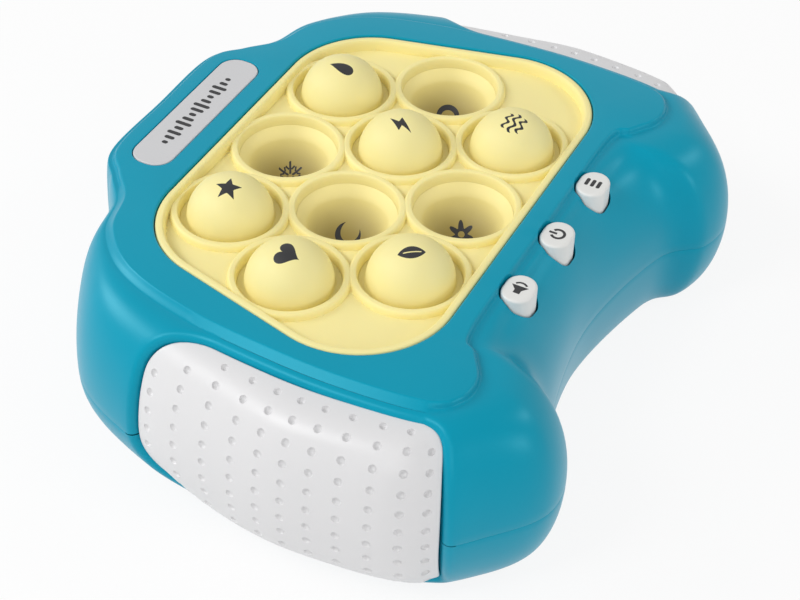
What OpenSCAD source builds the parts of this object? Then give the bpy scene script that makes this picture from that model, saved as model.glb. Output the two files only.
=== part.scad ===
// Hand-held bubble pop game console: a moulded two-part case with dimpled grip panels,
// a silicone pad of bubbles that pop through, three push buttons and a battery bay.
// Millimetres. +X is the player's right, +Y points away from the player, +Z is up.
// The origin is under the middle of the case, on the surface it stands on.

/* [Bubbles] */
// Distance between neighbouring bubbles
bubble_pitch = 24; // [23:0.5:27]
// Outer radius of a bubble's dome
dome_r = 9.1; // [8.5:0.1:9.6]
// Straight wall below the dome
dome_skirt = 0.5; // [0.3:0.1:1]
// Thickness of the silicone membrane
membrane_t = 1; // [0.8:0.1:1.4]
// Numbers of the bubbles that are pushed in
popped = [2, 5, 7, 9]; // [1:1:10]

/* [Pad] */
// Clear radius at the top of the ring round each bubble
ring_r = 10.6; // [10.5:0.1:11.2]
// Width of the ring's top
ring_w = 1.6; // [1.2:0.1:2]
// Depth of the ledge inside a ring
ring_ledge = 2.4; // [1.8:0.1:2.8]
// Height of a ring above the pad's floor
ring_h = 1.4; // [1:0.1:2]
// Thickness of the pad's floor
pad_floor_t = 3.6; // [3.2:0.1:4.2]
// Width of the rim round the pad
pad_rim_w = 1.8; // [1.2:0.1:2.2]
// Width of the flange held under the face plate
pad_flange_w = 2.5; // [2:0.1:3]
// Room between the rings and the pad's front and back rim
pad_row_margin = 1; // [0.5:0.1:2]
// Room beside the back row of rings
pad_back_margin = 9.8; // [8:0.1:12]
// Room beside the front row of rings
pad_front_margin = 16.8; // [14:0.1:19]
// Radius of the pad's corners
pad_corner_r = 20; // [17:0.5:21]

/* [Case] */
// Height of the flat face plate above the base
plate_top = 42; // [41:0.5:46]
// Height of the parting line, where the case is widest
seam_z = 17.5; // [16.5:0.5:19]
// Wall of the two shells
wall_t = 2.2; // [1.8:0.1:2.6]
// Width of the face plate beside the pad
frame_side_w = 4.4; // [4:0.1:7]
// Width of the face plate between the pad and the buttons
frame_front_w = 4.5; // [4.2:0.1:5.5]
// Width of the face plate behind the pad
frame_back_w = 3.7; // [3.6:0.1:6]
// How far the label's bump stands out behind the plate
bump_rise = 14; // [13:0.5:16]
// Width of the bevel round the face plate
bevel_w = 1.6; // [1:0.1:2]
// Depth of the bevel round the face plate
bevel_h = 1.4; // [1:0.1:2]
// Swell of the sides beyond the face plate
side_swell = 17.3; // [15:0.1:20]
// Swell of the front lobes beyond the face plate
lobe_swell = 19.1; // [17:0.1:22]
// Swell of the hollow between the lobes
saddle_swell = 11.5; // [10.5:0.1:14]
// How far the base draws in under the sides
base_draw = 11.5; // [10:0.1:14]

/* [Grips] */
// Thickness of a grip panel
panel_t = 2; // [1.6:0.1:2.4]
// Depth of a panel's face below the case around it
panel_inset = 0.5; // [0.3:0.1:1]
// Radius of the studs that hold a panel
stud_r = 2; // [1.5:0.1:2.5]

/* [Label] */
// Length of the label plate
label_w = 42; // [36:0.5:44]
// Width of the label plate
label_d = 9.3; // [8:0.1:10]
// Corner radius of the label plate
label_r = 4; // [3:0.1:4]
// Thickness of the label plate
label_t = 0.9; // [0.7:0.1:1.2]

/* [Buttons] */
// Distance between the push buttons
button_pitch = 18.7; // [18:0.1:20]
// Length of a button's cap
button_l = 8.4; // [7.5:0.1:9]
// Width of a button's cap
button_w = 6.5; // [6:0.1:6.8]
// Depth of a cap's top below the face plate
button_drop = 0.7; // [0.4:0.1:1.2]
// Height of a cap
button_h = 8.3; // [7.8:0.1:8.6]
// Travel of a button
button_travel = 0.6; // [0.4:0.1:0.8]

/* [Electronics] */
// Thickness of the circuit boards
board_t = 1.6; // [1.2:0.1:2]
// Side of a switch body
switch_w = 6; // [5:0.1:6.2]
// Radius of the speaker
speaker_r = 11.5; // [10:0.1:12]
// Depth of the speaker's frame
speaker_h = 4.2; // [3.6:0.1:6]

/* [Batteries] */
// Length of a cell with its nub
cell_l = 44.5; // [43.5:0.1:45]
// Radius of a cell
cell_r = 5.25; // [5:0.05:5.3]
// Distance between cells
cell_pitch = 11.6; // [11.2:0.1:12.5]
// Thickness of the battery door
door_t = 1.8; // [1.5:0.1:2.2]
// Radius of the door's hinge pins
door_pin_r = 0.8; // [0.6:0.05:0.85]

/* [Fasteners] */
// Radius of the case screws' shanks
screw_r = 1.3; // [1:0.1:1.5]
// Length of the case screws' shanks
screw_l = 12; // [9:0.5:13]
// Radius of the case screws' heads
screw_head_r = 2.4; // [2:0.1:2.6]
// Height of the case screws' heads
screw_head_h = 1.6; // [1.2:0.1:2]
// Radius of the small screws' shanks
small_screw_r = 0.9; // [0.7:0.1:1]

/* [Hidden] */
// Clearances: round pieces that move, pieces that only sit, pins that turn
move_gap = 0.3;
seat_gap = 0.2;
pin_gap = 0.08;
cut = 1;
$fn = 64;

// Bubble grid, numbered from the back row's left end
row_pitch = bubble_pitch * sqrt(3) / 2;
row_counts = [3, 4, 3];
bubble_places = [
    for (row = [0:2], k = [0:row_counts[row] - 1])
        [(k - (row_counts[row] - 1) / 2) * bubble_pitch, (1 - row) * row_pitch]
];
bubble_total = len(bubble_places);

// Heights, from the face plate down
pad_rim_drop = 0.6;
ring_drop = 1.2;
ring_top = plate_top - ring_drop;
dome_base = ring_top - ring_ledge;
dome_rise = dome_r + dome_skirt;
pad_floor = ring_top - ring_h;
pad_under = pad_floor - pad_floor_t;
plate_under = plate_top - wall_t;
pad_frame_t = 1.8;
frame_under = pad_under - pad_frame_t;
contact_t = 0.15;
board_top = dome_base - dome_rise - contact_t - move_gap;
board_under = board_top - board_t;

// Pad outline: four equal corner circles
ring_outer = ring_r + ring_w;
pad_half_d = row_pitch + ring_outer + pad_row_margin;
pad_corner_y = pad_half_d - pad_corner_r;
pad_back_x = bubble_pitch + ring_outer + pad_back_margin - pad_corner_r;
pad_front_x = bubble_pitch + ring_outer + pad_front_margin - pad_corner_r;
corner_steps = 12;

// Case outlines. Each station has a point on the face plate's edge, on the parting line
// and on the base, so the three outlines run round the case together.
half_w = pad_front_x + pad_corner_r + frame_side_w;
front_y = -pad_half_d - frame_front_w;
back_y = pad_half_d + frame_back_w;
bump_y = back_y + bump_rise;
corner_step = 7;
corner_y = front_y - corner_step;
lobe_y = corner_y - lobe_swell;
saddle_y = front_y - saddle_swell;
belly_w = half_w + side_swell;
base_w = belly_w - base_draw;
bump_round = 2.5;
bump_half = label_w / 2 - bump_round;
stations = [
    [[0, bump_y], [0, bump_y + 2.4], [0, bump_y - 2]],
    [[bump_half, bump_y - 0.2], [bump_half + 1, bump_y + 2.2], [bump_half - 0.5, bump_y - 2]],
    [[bump_half + 7, bump_y - 5], [bump_half + 8.5, bump_y - 1.8], [bump_half + 5, bump_y - 5]],
    [[bump_half + 13.5, back_y + 3.5], [bump_half + 17.5, back_y + 7.8], [bump_half + 11, back_y + 5]],
    [[half_w - 15.7, back_y], [belly_w - 26, back_y + 5.5], [base_w - 24, back_y + 1]],
    [[half_w - 7.2, back_y - 9.5], [belly_w - 11.5, back_y - 5], [base_w - 17, back_y - 14]],
    [[half_w - 2.2, back_y - 26], [belly_w - 3.5, back_y - 24], [base_w - 9, back_y - 30]],
    [[half_w - 0.2, back_y - 46], [belly_w, back_y - 46], [base_w - 1, back_y - 46]],
    [[half_w, front_y + 14.5], [belly_w - 0.2, front_y + 12.5], [base_w, front_y + 14.5]],
    [[half_w - 1.7, corner_y + 5.5], [belly_w - 4, corner_y + 1], [base_w - 2.5, corner_y + 3]],
    [[half_w - 5.7, corner_y + 0.5], [belly_w - 15, lobe_y + 8], [base_w - 8.5, corner_y - 6.5]],
    [[half_w - 11.7, corner_y], [belly_w - 25, lobe_y + 0.8], [base_w - 16, corner_y - 11]],
    [[half_w - 17.7, corner_y + 3.5], [belly_w - 36, lobe_y + 1.8], [base_w - 24, corner_y - 10]],
    [[half_w - 23.7, front_y - 0.1], [belly_w - 45.5, saddle_y - 5], [base_w - 32, front_y - 12]],
    [[0, front_y], [0, saddle_y], [0, front_y - 7]]
];
last_station = len(stations) - 1;
station_total = 2 * last_station;
function mirrored(p) = [-p[0], p[1]];
function loop_points(which) = [
    for (i = [0:last_station]) stations[i][which],
    for (i = [last_station - 1:-1:1]) mirrored(stations[i][which])
];
plate_loop = loop_points(0);
belly_loop = loop_points(1);
base_loop = loop_points(2);

// Evenly spaced values, without the last
function spread(from, to, n) = [for (k = [0:n - 1]) from + (to - from) * k / n];

// A smooth closed curve through a loop's points, and its outward direction
function curve(a, b, c, d, u) =
    0.5 * (2 * b + (c - a) * u + (2 * a - 5 * b + 4 * c - d) * u ^ 2 + (3 * b - a - 3 * c + d) * u ^ 3);
function slope(a, b, c, d, u) =
    0.5 * ((c - a) + 2 * (2 * a - 5 * b + 4 * c - d) * u + 3 * (3 * b - a - 3 * c + d) * u ^ 2);
function near(points, i) = points[(i + len(points)) % len(points)];
function along(points, s) =
    let (i = floor(s), u = s - i)
    curve(near(points, i - 1), near(points, i), near(points, i + 1), near(points, i + 2), u);
function outward(points, s) =
    let (
        i = floor(s),
        t = slope(near(points, i - 1), near(points, i), near(points, i + 1), near(points, i + 2), s - i)
    )
    [-t[1], t[0]] / norm(t);

// The case's skin: a quarter oval from the bevel out to the parting line for a level of 0 to 1,
// and another from there in to the base for a level of 1 to 2. The upper oval is the fuller,
// the further the case swells there. depth is measured inwards.
shoulder_z = plate_top - bevel_h;
round_reach = 10;
full_reach = 18;
full_power = 0.72;
least = 0.001;
function fullness(reach) =
    1 - (1 - full_power) * max(0, min(1, (reach - round_reach) / (full_reach - round_reach)));
function skin(s, level, depth) =
    let (
        edge = along(plate_loop, s) + bevel_w * outward(plate_loop, s),
        belly = along(belly_loop, s),
        base = along(base_loop, s),
        upper = level <= 1,
        angle = 90 * (upper ? level : level - 1),
        reach = upper ? belly - edge : belly - base,
        rise = upper ? shoulder_z - seam_z : seam_z,
        power = fullness(norm(reach)),
        climb = max(sin(angle), least),
        swell = climb ^ power,
        place = upper ? edge + reach * swell : belly - reach * (1 - cos(angle)),
        z = upper ? shoulder_z - rise * (1 - cos(angle)) : seam_z - rise * sin(angle),
        flat = rise * (upper ? climb : cos(angle)),
        steep = norm(reach) * (upper ? power * swell / climb * cos(angle) : -sin(angle)),
        length = norm([flat, steep]),
        side = reach / norm(reach) * flat / length
    )
    [place[0] - depth * side[0], place[1] - depth * side[1], z - depth * steep / length];

// The window that a grip panel fills, as station and level limits on the right side
panel_from = 5.9;
panel_to = 9.4;
panel_high = 0.085;
panel_low = 1.7;
panel_depth = panel_inset + panel_t + seat_gap;
station_step = 17;
wall_s = wall_t / station_step;
wall_level = 0.06;
function in_window(s, level, grow_s, grow_level) =
    let (r = s <= last_station ? s : station_total - s)
    r > panel_from - grow_s && r < panel_to + grow_s
        && level > panel_high - grow_level && level < panel_low + grow_level;

// Grid lines of the skin, doubled at the window's borders
tiny = 0.004;
back_columns = 24;
window_columns = 14;
front_columns = 20;
function backwards(list) = [for (i = [len(list) - 1:-1:0]) list[i]];
function skin_columns(grow) =
    let (
        from = panel_from - grow,
        to = panel_to + grow,
        right = concat(
            spread(0, from - tiny, back_columns),
            [from - tiny],
            spread(from + tiny, to - tiny, window_columns),
            [to - tiny],
            spread(to + tiny, last_station, front_columns)
        ),
        left = [for (i = [len(right) - 1:-1:1]) station_total - right[i]]
    )
    concat(right, [last_station], left);
function ring_at(columns, level, depth, grow_s, grow_level) = [
    for (s = columns)
        skin(s, level, depth + (in_window(s, level, grow_s, grow_level) ? panel_depth : 0))
];
function plate_ring(columns, inset, z) = [
    for (s = columns)
        let (p = along(plate_loop, s) - inset * outward(plate_loop, s))
        [p[0], p[1], z]
];

outer_columns = skin_columns(0);
inner_columns = skin_columns(wall_s);
upper_levels = [0, 0.06, panel_high - tiny, panel_high + tiny, 0.25, 0.38, 0.51, 0.63, 0.75, 0.88, 1];
lower_levels = [1, 1.12, 1.24, 1.36, 1.48, 1.6, panel_low - tiny, panel_low + tiny, 1.85, 2];
inner_upper = [0.02, panel_high - wall_level - tiny, panel_high - wall_level + tiny, 0.3, 0.5, 0.75, 1];
inner_lower = [1, 1.2, 1.4, 1.6, panel_low + wall_level - tiny, panel_low + wall_level + tiny, 1.84];

function flattened(lists) = [for (l = lists) for (p = l) p];

// The pad's outline: equal corner arcs joined by the straight sides that touch them
function corner_arc(centre, r, from, to) = [
    for (k = [0:corner_steps])
        let (a = from + (to - from) * k / corner_steps)
        centre + r * [cos(a), sin(a)]
];
function pad_points(grow) =
    let (
        r = pad_corner_r + grow,
        side_angle = atan2(pad_front_x - pad_back_x, 2 * pad_corner_y),
        right = concat(
            corner_arc([pad_back_x, pad_corner_y], r, 90, side_angle),
            corner_arc([pad_front_x, -pad_corner_y], r, side_angle, -90)
        )
    )
    concat(right, [for (p = backwards(right)) mirrored(p)]);

// The face plate's edge as a polygon
function plate_points(steps) = [for (s = spread(0, station_total, steps)) along(plate_loop, s)];

// Case depth front to back, to centre the origin
belly_y = [for (s = outer_columns) along(belly_loop, s)[1]];
mid_y = (max(belly_y) + min(belly_y)) / 2;

// Places of the fasteners
frame_boss_r = 2.6;
frame_ear_r = frame_boss_r + 0.6;
frame_boss_reach = pad_corner_r + pad_flange_w + frame_boss_r + move_gap;
diagonal = sqrt(0.5);
frame_boss_places = [
    for (side = [-1, 1])
        for (end = [[pad_back_x, 1], [pad_front_x, -1]])
            [side * (end[0] + diagonal * frame_boss_reach),
                end[1] * (pad_corner_y + diagonal * frame_boss_reach)]
];
case_boss_r = 3.2;
case_boss_inset = [7.7, 5.5];
case_boss_step = [6, 4.5];
case_boss_places = concat(
    [for (side = [-1, 1]) [side * (half_w - case_boss_inset[0]), corner_y + case_boss_inset[1]]],
    [for (side = [-1, 1]) [side * (bump_half + case_boss_step[0]), back_y + case_boss_step[1]]]
);
boss_top = plate_under + wall_t / 4;
post_r = 2.2;
post_places = [for (x = [-1, 1], y = [-1, 1]) [x * bubble_pitch, y * row_pitch / 3]];

// Buttons and their board
button_step = 3.4;
button_y = front_y - button_step;
button_top = plate_top - button_drop;
button_under = button_top - button_h;
button_xs = [-button_pitch, 0, button_pitch];
button_ear_l = 1.1;
button_ear_w = 3.6;
button_ear_h = 1.2;
button_collar_t = 1.2;
button_collar_z = button_under + button_ear_h + move_gap;
stem_r = 1.7;
switch_h = 3.5;
switch_top = board_top + switch_h;
button_board_end = 2.5;
button_board_l = 2 * (button_pitch + button_board_end) + switch_w;
button_board_w = 7.6;
button_post_r = 2.4;
button_post_xs = [-button_pitch / 2, button_pitch / 2];

// Battery bay
spring_l = 4;
contact_plate_t = 0.4;
contact_plate_w = 2 * cell_r - 1;
bay_half_l = (cell_l + spring_l) / 2 + 2 * contact_plate_t + seat_gap;
cell_room = 0.5;
bay_half_w = cell_pitch + cell_r + cell_room;
bay_wall = 4;
bay_ledge = 1.5;
bay_roof_t = 1.5;
bay_y = -3;
door_inset = 0.4;
door_top = door_inset + door_t;
cell_z = door_top + 2 * move_gap + cell_r;
bay_roof = cell_z + cell_r + cell_room;
door_half_l = bay_half_l + bay_ledge;
door_half_w = bay_half_w + bay_ledge;
door_pin_l = 1.6;
door_axis_x = -door_half_l + door_t / 2;
door_axis_z = door_inset + door_t / 2;
door_tab_w = 8;
door_tab_l = 5;
door_screw_x = door_half_l + door_tab_l - door_tab_w / 2;
door_screw_l = 5;
door_screw_room = 1;
door_screw_gap = 0.5;
door_head_sink = 0.8;
door_hole_top = door_top + door_screw_l + door_screw_room;
door_boss_r = 3.4;

// Speaker
speaker_rib_t = 1.2;
speaker_rib_h = 3;
speaker_y = bay_y + bay_half_w + bay_wall + speaker_r + speaker_rib_t + 2 * seat_gap;
speaker_z = wall_t + seat_gap;
speaker_lip_w = 1.2;
speaker_lip_t = 1.2;
magnet_inset = 5.2;
magnet_r = speaker_r - magnet_inset;
magnet_h = 1.6;
cone_t = 0.6;
grille_hole_r = 0.8;
grille_pitch = 3.2;

// Grip panels and their studs
panel_edge_s = 0.025;
panel_edge_level = 0.012;
panel_columns = 16;
panel_rows = 20;
stud_stations = [6.7, 8.6];
stud_level = 0.72;
stud_places = [for (s = stud_stations) skin(s, stud_level, panel_inset + panel_t / 2)];
stud_tip = 1.5;
stud_l = panel_t / 2 + seat_gap + wall_t + stud_tip;
function panel_grid(depth) = [
    for (i = [0:panel_rows])
        let (q = panel_high + panel_edge_level
            + (panel_low - panel_high - 2 * panel_edge_level) * i / panel_rows)
        [for (s = concat(spread(panel_from + panel_edge_s, panel_to - panel_edge_s, panel_columns),
            [panel_to - panel_edge_s])) skin(s, q, depth)]
];

// Case screw wells in the bottom shell
floor_mid = wall_t / 2;
cap_inset = 0.5;
cap_drop = 0.3;
plate_steps = 112;
hub_sides = 12;
hub_share = 0.85;
case_well_r = 4.2;
case_well_h = 9;
pilot_gap = 0.05;
button_post_top = plate_top - 1.5 * wall_t;

// Electronic details
board_margin = 2.5;
contact_r = 3;
led_offset = 7.4;
led_size = [1.6, 3, 0.6];
chip_r = 6;
chip_h = 1.5;
chip_top_r = 4;
stem_sink = 0.9;
ribbon_w = 12;
ribbon_t = 0.5;
ribbon_lap = 3;
nub_r = 1.9;
nub_l = 1.2;
spring_r = 3.2;
spring_wire = 0.6;
grille_places = [
    for (row = [-2:2], k = [-2:2])
        if (abs(row + k) <= 2) [(k + row / 2) * grille_pitch, speaker_y + row * grille_pitch * sqrt(3) / 2]
];

// Label, small screws and the height of the pad's flange
label_step = 5.9;
label_y = back_y + label_step;
pad_flange_h = plate_under - pad_under - seat_gap;
small_screw_l = 3.5;
small_head_r = 1.7;
small_head_h = 1.1;

// Leads: each runs from its piece up to the underside of the board
lead_r = 0.8;
lead_top = board_under - 0.35;
lead_rise = 3.4;
speaker_lead_x = 3;
speaker_lead_y = speaker_y - 0.45;
speaker_lead_z = speaker_z + speaker_h + 0.3;
speaker_lead_end = [bubble_pitch - 10, speaker_lead_y - 5];
speaker_lead_route = [
    [speaker_lead_x, speaker_lead_y, speaker_lead_z],
    [speaker_lead_x, speaker_lead_y, speaker_lead_z + 2.1],
    [speaker_lead_x + 4, speaker_lead_y, speaker_lead_z + 6],
    [speaker_lead_end[0] - 1, speaker_lead_end[1] + 2, lead_top - 2 * lead_rise],
    [speaker_lead_end[0], speaker_lead_end[1], lead_top - lead_rise],
    [speaker_lead_end[0], speaker_lead_end[1], lead_top]
];
battery_lead_y = bay_y - cell_pitch;
battery_lead_out = bay_half_l + bay_wall;
battery_lead_end = [battery_lead_out + 5.8, battery_lead_y + 4.6];
battery_lead_route = [
    [bay_half_l + seat_gap, battery_lead_y, cell_z],
    [bay_half_l + bay_wall / 2, battery_lead_y, cell_z],
    [battery_lead_out + 0.6, battery_lead_y, cell_z],
    [battery_lead_out + 3, battery_lead_y, cell_z + 0.8],
    [battery_lead_out + 5.4, battery_lead_y + 0.8, cell_z + 4.5],
    [battery_lead_end[0] + 0.6, battery_lead_end[1] - 2, cell_z + 10.5],
    [battery_lead_end[0], battery_lead_end[1], lead_top - lead_rise],
    [battery_lead_end[0], battery_lead_end[1], lead_top]
];

// Centres the case over the origin
module seat() {
    translate([0, -mid_y, 0]) children();
}

// Side walls between rings of n points each
function ring_walls(n, rows) = [
    for (i = [0:rows - 2], j = [0:n - 1])
        let (a = i * n, b = a + n, k = (j + 1) % n)
        each [[a + k, a + j, b + j], [a + k, b + j, b + k]]
];

// A closed solid from rings of equal length, first and last ring capped
module ring_solid(rings) {
    n = len(rings[0]);
    rows = len(rings);
    caps = [[for (j = [0:n - 1]) j], [for (j = [n - 1:-1:0]) (rows - 1) * n + j]];
    polyhedron(flattened(rings), concat(ring_walls(n, rows), caps), convexity = 10);
}

// A closed solid from rings, with each end closed by a coarse ring at its own height and a middle point
module bowl_solid(rings, first_z, last_z) {
    n = len(rings[0]);
    rows = len(rings);
    ratio = n / hub_sides;
    hub = function (ring, z) [
        for (i = [0:hub_sides - 1]) [hub_share * ring[i * ratio][0], hub_share * ring[i * ratio][1], z]
    ];
    ends = [[rings[0], first_z, 0], [rings[rows - 1], last_z, (rows - 1) * n]];
    points = concat(flattened(rings), flattened([for (e = ends) concat(hub(e[0], e[1]), [[0, 0, e[1]]])]));
    caps = [
        for (k = [0, 1])
            let (
                h = rows * n + k * (hub_sides + 1),
                to_hub = function (j) h + floor((j + ratio / 2) % n / ratio),
                rim = [
                    for (j = [0:n - 1])
                        let (a = ends[k][2] + j, b = ends[k][2] + (j + 1) % n)
                        each concat(
                            [[a, b, to_hub(j)]],
                            to_hub(j) == to_hub(j + 1) ? [] : [[b, to_hub(j + 1), to_hub(j)]]
                        )
                ],
                middle = [for (i = [0:hub_sides - 1]) [h + i, h + (i + 1) % hub_sides, h + hub_sides]]
            )
            each [for (f = concat(rim, middle)) k == 0 ? f : backwards(f)]
    ];
    polyhedron(points, concat(ring_walls(n, rows), caps), convexity = 10);
}

// A closed slab between two grids of points, row by row from the top
module slab_solid(outer, inner) {
    n = len(outer[0]);
    rows = len(outer);
    rings = [for (i = [0:rows - 1]) concat(outer[i], backwards(inner[i]))];
    m = 2 * n;
    walls = [
        for (i = [0:rows - 2], j = [0:m - 1])
            let (a = i * m + j, b = i * m + (j + 1) % m)
            each [[b, a, a + m], [b, a + m, b + m]]
    ];
    end = (rows - 1) * m;
    caps = [
        for (k = [0:n - 2])
            let (a = k, b = k + 1, c = m - 2 - k, d = m - 1 - k)
            each [[a, b, c], [a, c, d], [end + c, end + b, end + a], [end + d, end + c, end + a]]
    ];
    polyhedron(flattened(rings), concat(walls, caps), convexity = 10);
}

// A round wire swept along a smooth curve through a route's points
module wire(route, r) {
    sides = 8;
    steps = 4;
    last = len(route) - 1;
    path = [
        for (k = [0:last * steps])
            let (i = min(floor(k / steps), last - 1), u = k / steps - i)
            curve(route[max(i - 1, 0)], route[i], route[i + 1], route[min(i + 2, last)], u)
    ];
    ends = len(path) - 1;
    rings = [
        for (k = [0:ends])
            let (
                t = path[min(k + 1, ends)] - path[max(k - 1, 0)],
                d = t / norm(t),
                u = cross(d, [0.3, 1, 0.1]),
                a = u / norm(u),
                b = cross(d, a)
            )
            [for (q = [0:sides - 1]) path[k] + r * (cos(360 * q / sides) * a - sin(360 * q / sides) * b)]
    ];
    ring_solid(backwards(rings));
}

module pad_outline(grow = 0) {
    polygon(pad_points(grow));
}

// A rectangle with round corners
module round_rect(w, d, r) {
    square([w - 2 * r, d], center = true);
    square([w, d - 2 * r], center = true);
    for (x = [-1, 1], y = [-1, 1])
        translate([x * (w / 2 - r), y * (d / 2 - r)]) circle(r);
}

module at_places(places, z) {
    for (p = places) translate([p[0], p[1], z]) children();
}

module slab(z0, z1) {
    translate([0, 0, z0]) linear_extrude(z1 - z0) children();
}

// A screw that stands head down, with its head's top face at z = 0
module screw(shank_r, shank_l, head_r, head_h) {
    slot_w = 0.5;
    difference() {
        union() {
            cylinder(r = head_r, h = head_h);
            cylinder(r = shank_r, h = head_h + shank_l);
        }
        for (turn = [0, 90])
            rotate([0, 0, turn])
                cube([1.3 * head_r, slot_w, head_h], center = true);
    }
}

module panel_studs(r, l) {
    for (p = stud_places)
        translate(p) rotate([0, -90, 0]) cylinder(r = r, h = l);
}

module button_outline(grow = 0) {
    round_ends = button_l - button_w;
    square([round_ends, button_w + 2 * grow], center = true);
    for (side = [-1, 1])
        translate([side * round_ends / 2, 0]) circle(button_w / 2 + grow);
}

module top_shell() {
    outer = concat(
        [plate_ring(outer_columns, cap_inset, plate_top - cap_drop)],
        [for (q = upper_levels) ring_at(outer_columns, q, 0, 0, 0)]
    );
    inner = concat(
        [plate_ring(inner_columns, wall_t, plate_under + cap_drop)],
        [for (q = inner_upper) ring_at(inner_columns, q, wall_t, wall_s, wall_level)]
    );
    color("darkcyan") seat() difference() {
        union() {
            ring_solid(concat(outer, backwards(inner)));
            slab(plate_under, plate_top) polygon(plate_points(plate_steps));
            at_places(case_boss_places, seam_z)
                cylinder(r = case_boss_r, h = boss_top - seam_z);
            at_places(frame_boss_places, pad_under)
                cylinder(r = frame_boss_r, h = boss_top - pad_under);
            for (x = button_post_xs)
                translate([x, button_y, board_top])
                    cylinder(r = button_post_r, h = button_post_top - board_top);
            for (x = button_xs)
                translate([x, button_y, 0]) slab(button_collar_z, button_post_top)
                    button_outline(move_gap + button_collar_t);
        }
        slab(plate_under - cut, plate_top + cut) pad_outline(seat_gap);
        translate([0, label_y, 0]) slab(plate_top - label_t - seat_gap, plate_top + cut)
            round_rect(label_w + 2 * seat_gap, label_d + 2 * seat_gap, label_r + seat_gap);
        for (x = button_xs)
            translate([x, button_y, 0]) slab(button_under - button_travel - move_gap, plate_top + cut)
                button_outline(move_gap);
        at_places(case_boss_places, seam_z - cut) cylinder(r = screw_r + pilot_gap, h = screw_l + cut);
        at_places(frame_boss_places, pad_under - cut)
            cylinder(r = small_screw_r + pilot_gap, h = small_screw_l + cut);
        for (x = button_post_xs)
            translate([x, button_y, board_top - cut])
                cylinder(r = small_screw_r + pilot_gap, h = small_screw_l + cut);
        for (side = [0, 1])
            mirror([side, 0, 0]) panel_studs(stud_r + seat_gap, stud_l + cut);
    }
}

module bottom_shell() {
    outer = [for (q = lower_levels) ring_at(outer_columns, q, 0, 0, 0)];
    inner = [for (q = inner_lower) ring_at(inner_columns, q, wall_t, wall_s, wall_level)];
    color("darkcyan") seat() difference() {
        union() {
            bowl_solid(concat(backwards(inner), outer), wall_t, 0);
            at_places(case_boss_places, floor_mid)
                cylinder(r = case_well_r, h = seam_z - seat_gap - floor_mid);
            translate([0, bay_y, 0]) slab(floor_mid, bay_roof + bay_roof_t)
                square(2 * [bay_half_l + bay_wall, bay_half_w + bay_wall], center = true);
            translate([door_screw_x, bay_y, floor_mid])
                cylinder(r = door_boss_r, h = door_hole_top + door_screw_room - floor_mid);
            translate([0, speaker_y, floor_mid])
                cylinder(r = speaker_r + seat_gap + speaker_rib_t, h = wall_t + speaker_rib_h - floor_mid);
        }
        at_places(case_boss_places, -cut) cylinder(r = screw_head_r + seat_gap, h = case_well_h + cut);
        at_places(case_boss_places, 0) cylinder(r = screw_r + seat_gap, h = seam_z);
        translate([0, bay_y, 0]) {
            slab(-cut, bay_roof) square(2 * [bay_half_l, bay_half_w], center = true);
            slab(-cut, door_top + seat_gap) door_outline(move_gap);
            for (side = [-1, 1])
                translate([door_axis_x, side * door_half_w, door_axis_z]) rotate([side * -90, 0, 0])
                    cylinder(r = door_pin_r + pin_gap, h = door_pin_l + move_gap + seat_gap);
            translate([door_screw_x, 0, 0])
                cylinder(r = small_screw_r + door_screw_gap, h = door_hole_top);
            translate([bay_half_l, -cell_pitch, cell_z]) rotate([0, 90, 0])
                cylinder(r = lead_r + seat_gap, h = bay_wall + cut);
        }
        translate([0, speaker_y, wall_t]) cylinder(r = speaker_r + seat_gap, h = speaker_rib_h + cut);
        at_places(grille_places, -cut) cylinder(r = grille_hole_r, h = wall_t + 2 * cut);
    }
}

module grip_panel() {
    color("whitesmoke") seat() {
        slab_solid(panel_grid(panel_inset), panel_grid(panel_inset + panel_t));
        panel_studs(stud_r, stud_l);
    }
}

module right_grip_panel() {
    grip_panel();
}

module left_grip_panel() {
    mirror([1, 0, 0]) grip_panel();
}

module label_plate() {
    color("gainsboro") seat() translate([0, label_y, 0]) slab(plate_top - label_t, plate_top)
        round_rect(label_w, label_d, label_r);
}

module bubble_pad() {
    color("khaki") seat() difference() {
        union() {
            slab(pad_under, pad_floor) pad_outline(pad_flange_w);
            difference() {
                slab(pad_under, pad_under + pad_flange_h) pad_outline(pad_flange_w);
                slab(pad_floor, plate_top) pad_outline(-pad_rim_w);
            }
            difference() {
                slab(pad_under, plate_top - pad_rim_drop) pad_outline();
                slab(pad_floor, plate_top) pad_outline(-pad_rim_w);
            }
            at_places(bubble_places, pad_under) cylinder(r = ring_outer, h = ring_top - pad_under);
        }
        at_places(bubble_places, dome_base) cylinder(r = ring_r, h = plate_top);
        at_places(bubble_places, pad_under - cut) cylinder(r = dome_r + move_gap, h = plate_top);
    }
}

// One bubble: a dome on a short skirt, or the same turned through when it is pushed in
module bubble(number) {
    pushed_in = len(search(number, popped)) > 0;
    color("khaki") seat()
        translate([bubble_places[number - 1][0], bubble_places[number - 1][1], dome_base])
            mirror([0, 0, pushed_in ? 1 : 0])
                rotate_extrude() {
                    translate([0, dome_skirt]) intersection() {
                        difference() {
                            circle(dome_r);
                            circle(dome_r - membrane_t);
                        }
                        square(dome_r);
                    }
                    translate([dome_r - membrane_t, 0]) square([membrane_t, dome_skirt]);
                }
}

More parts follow.
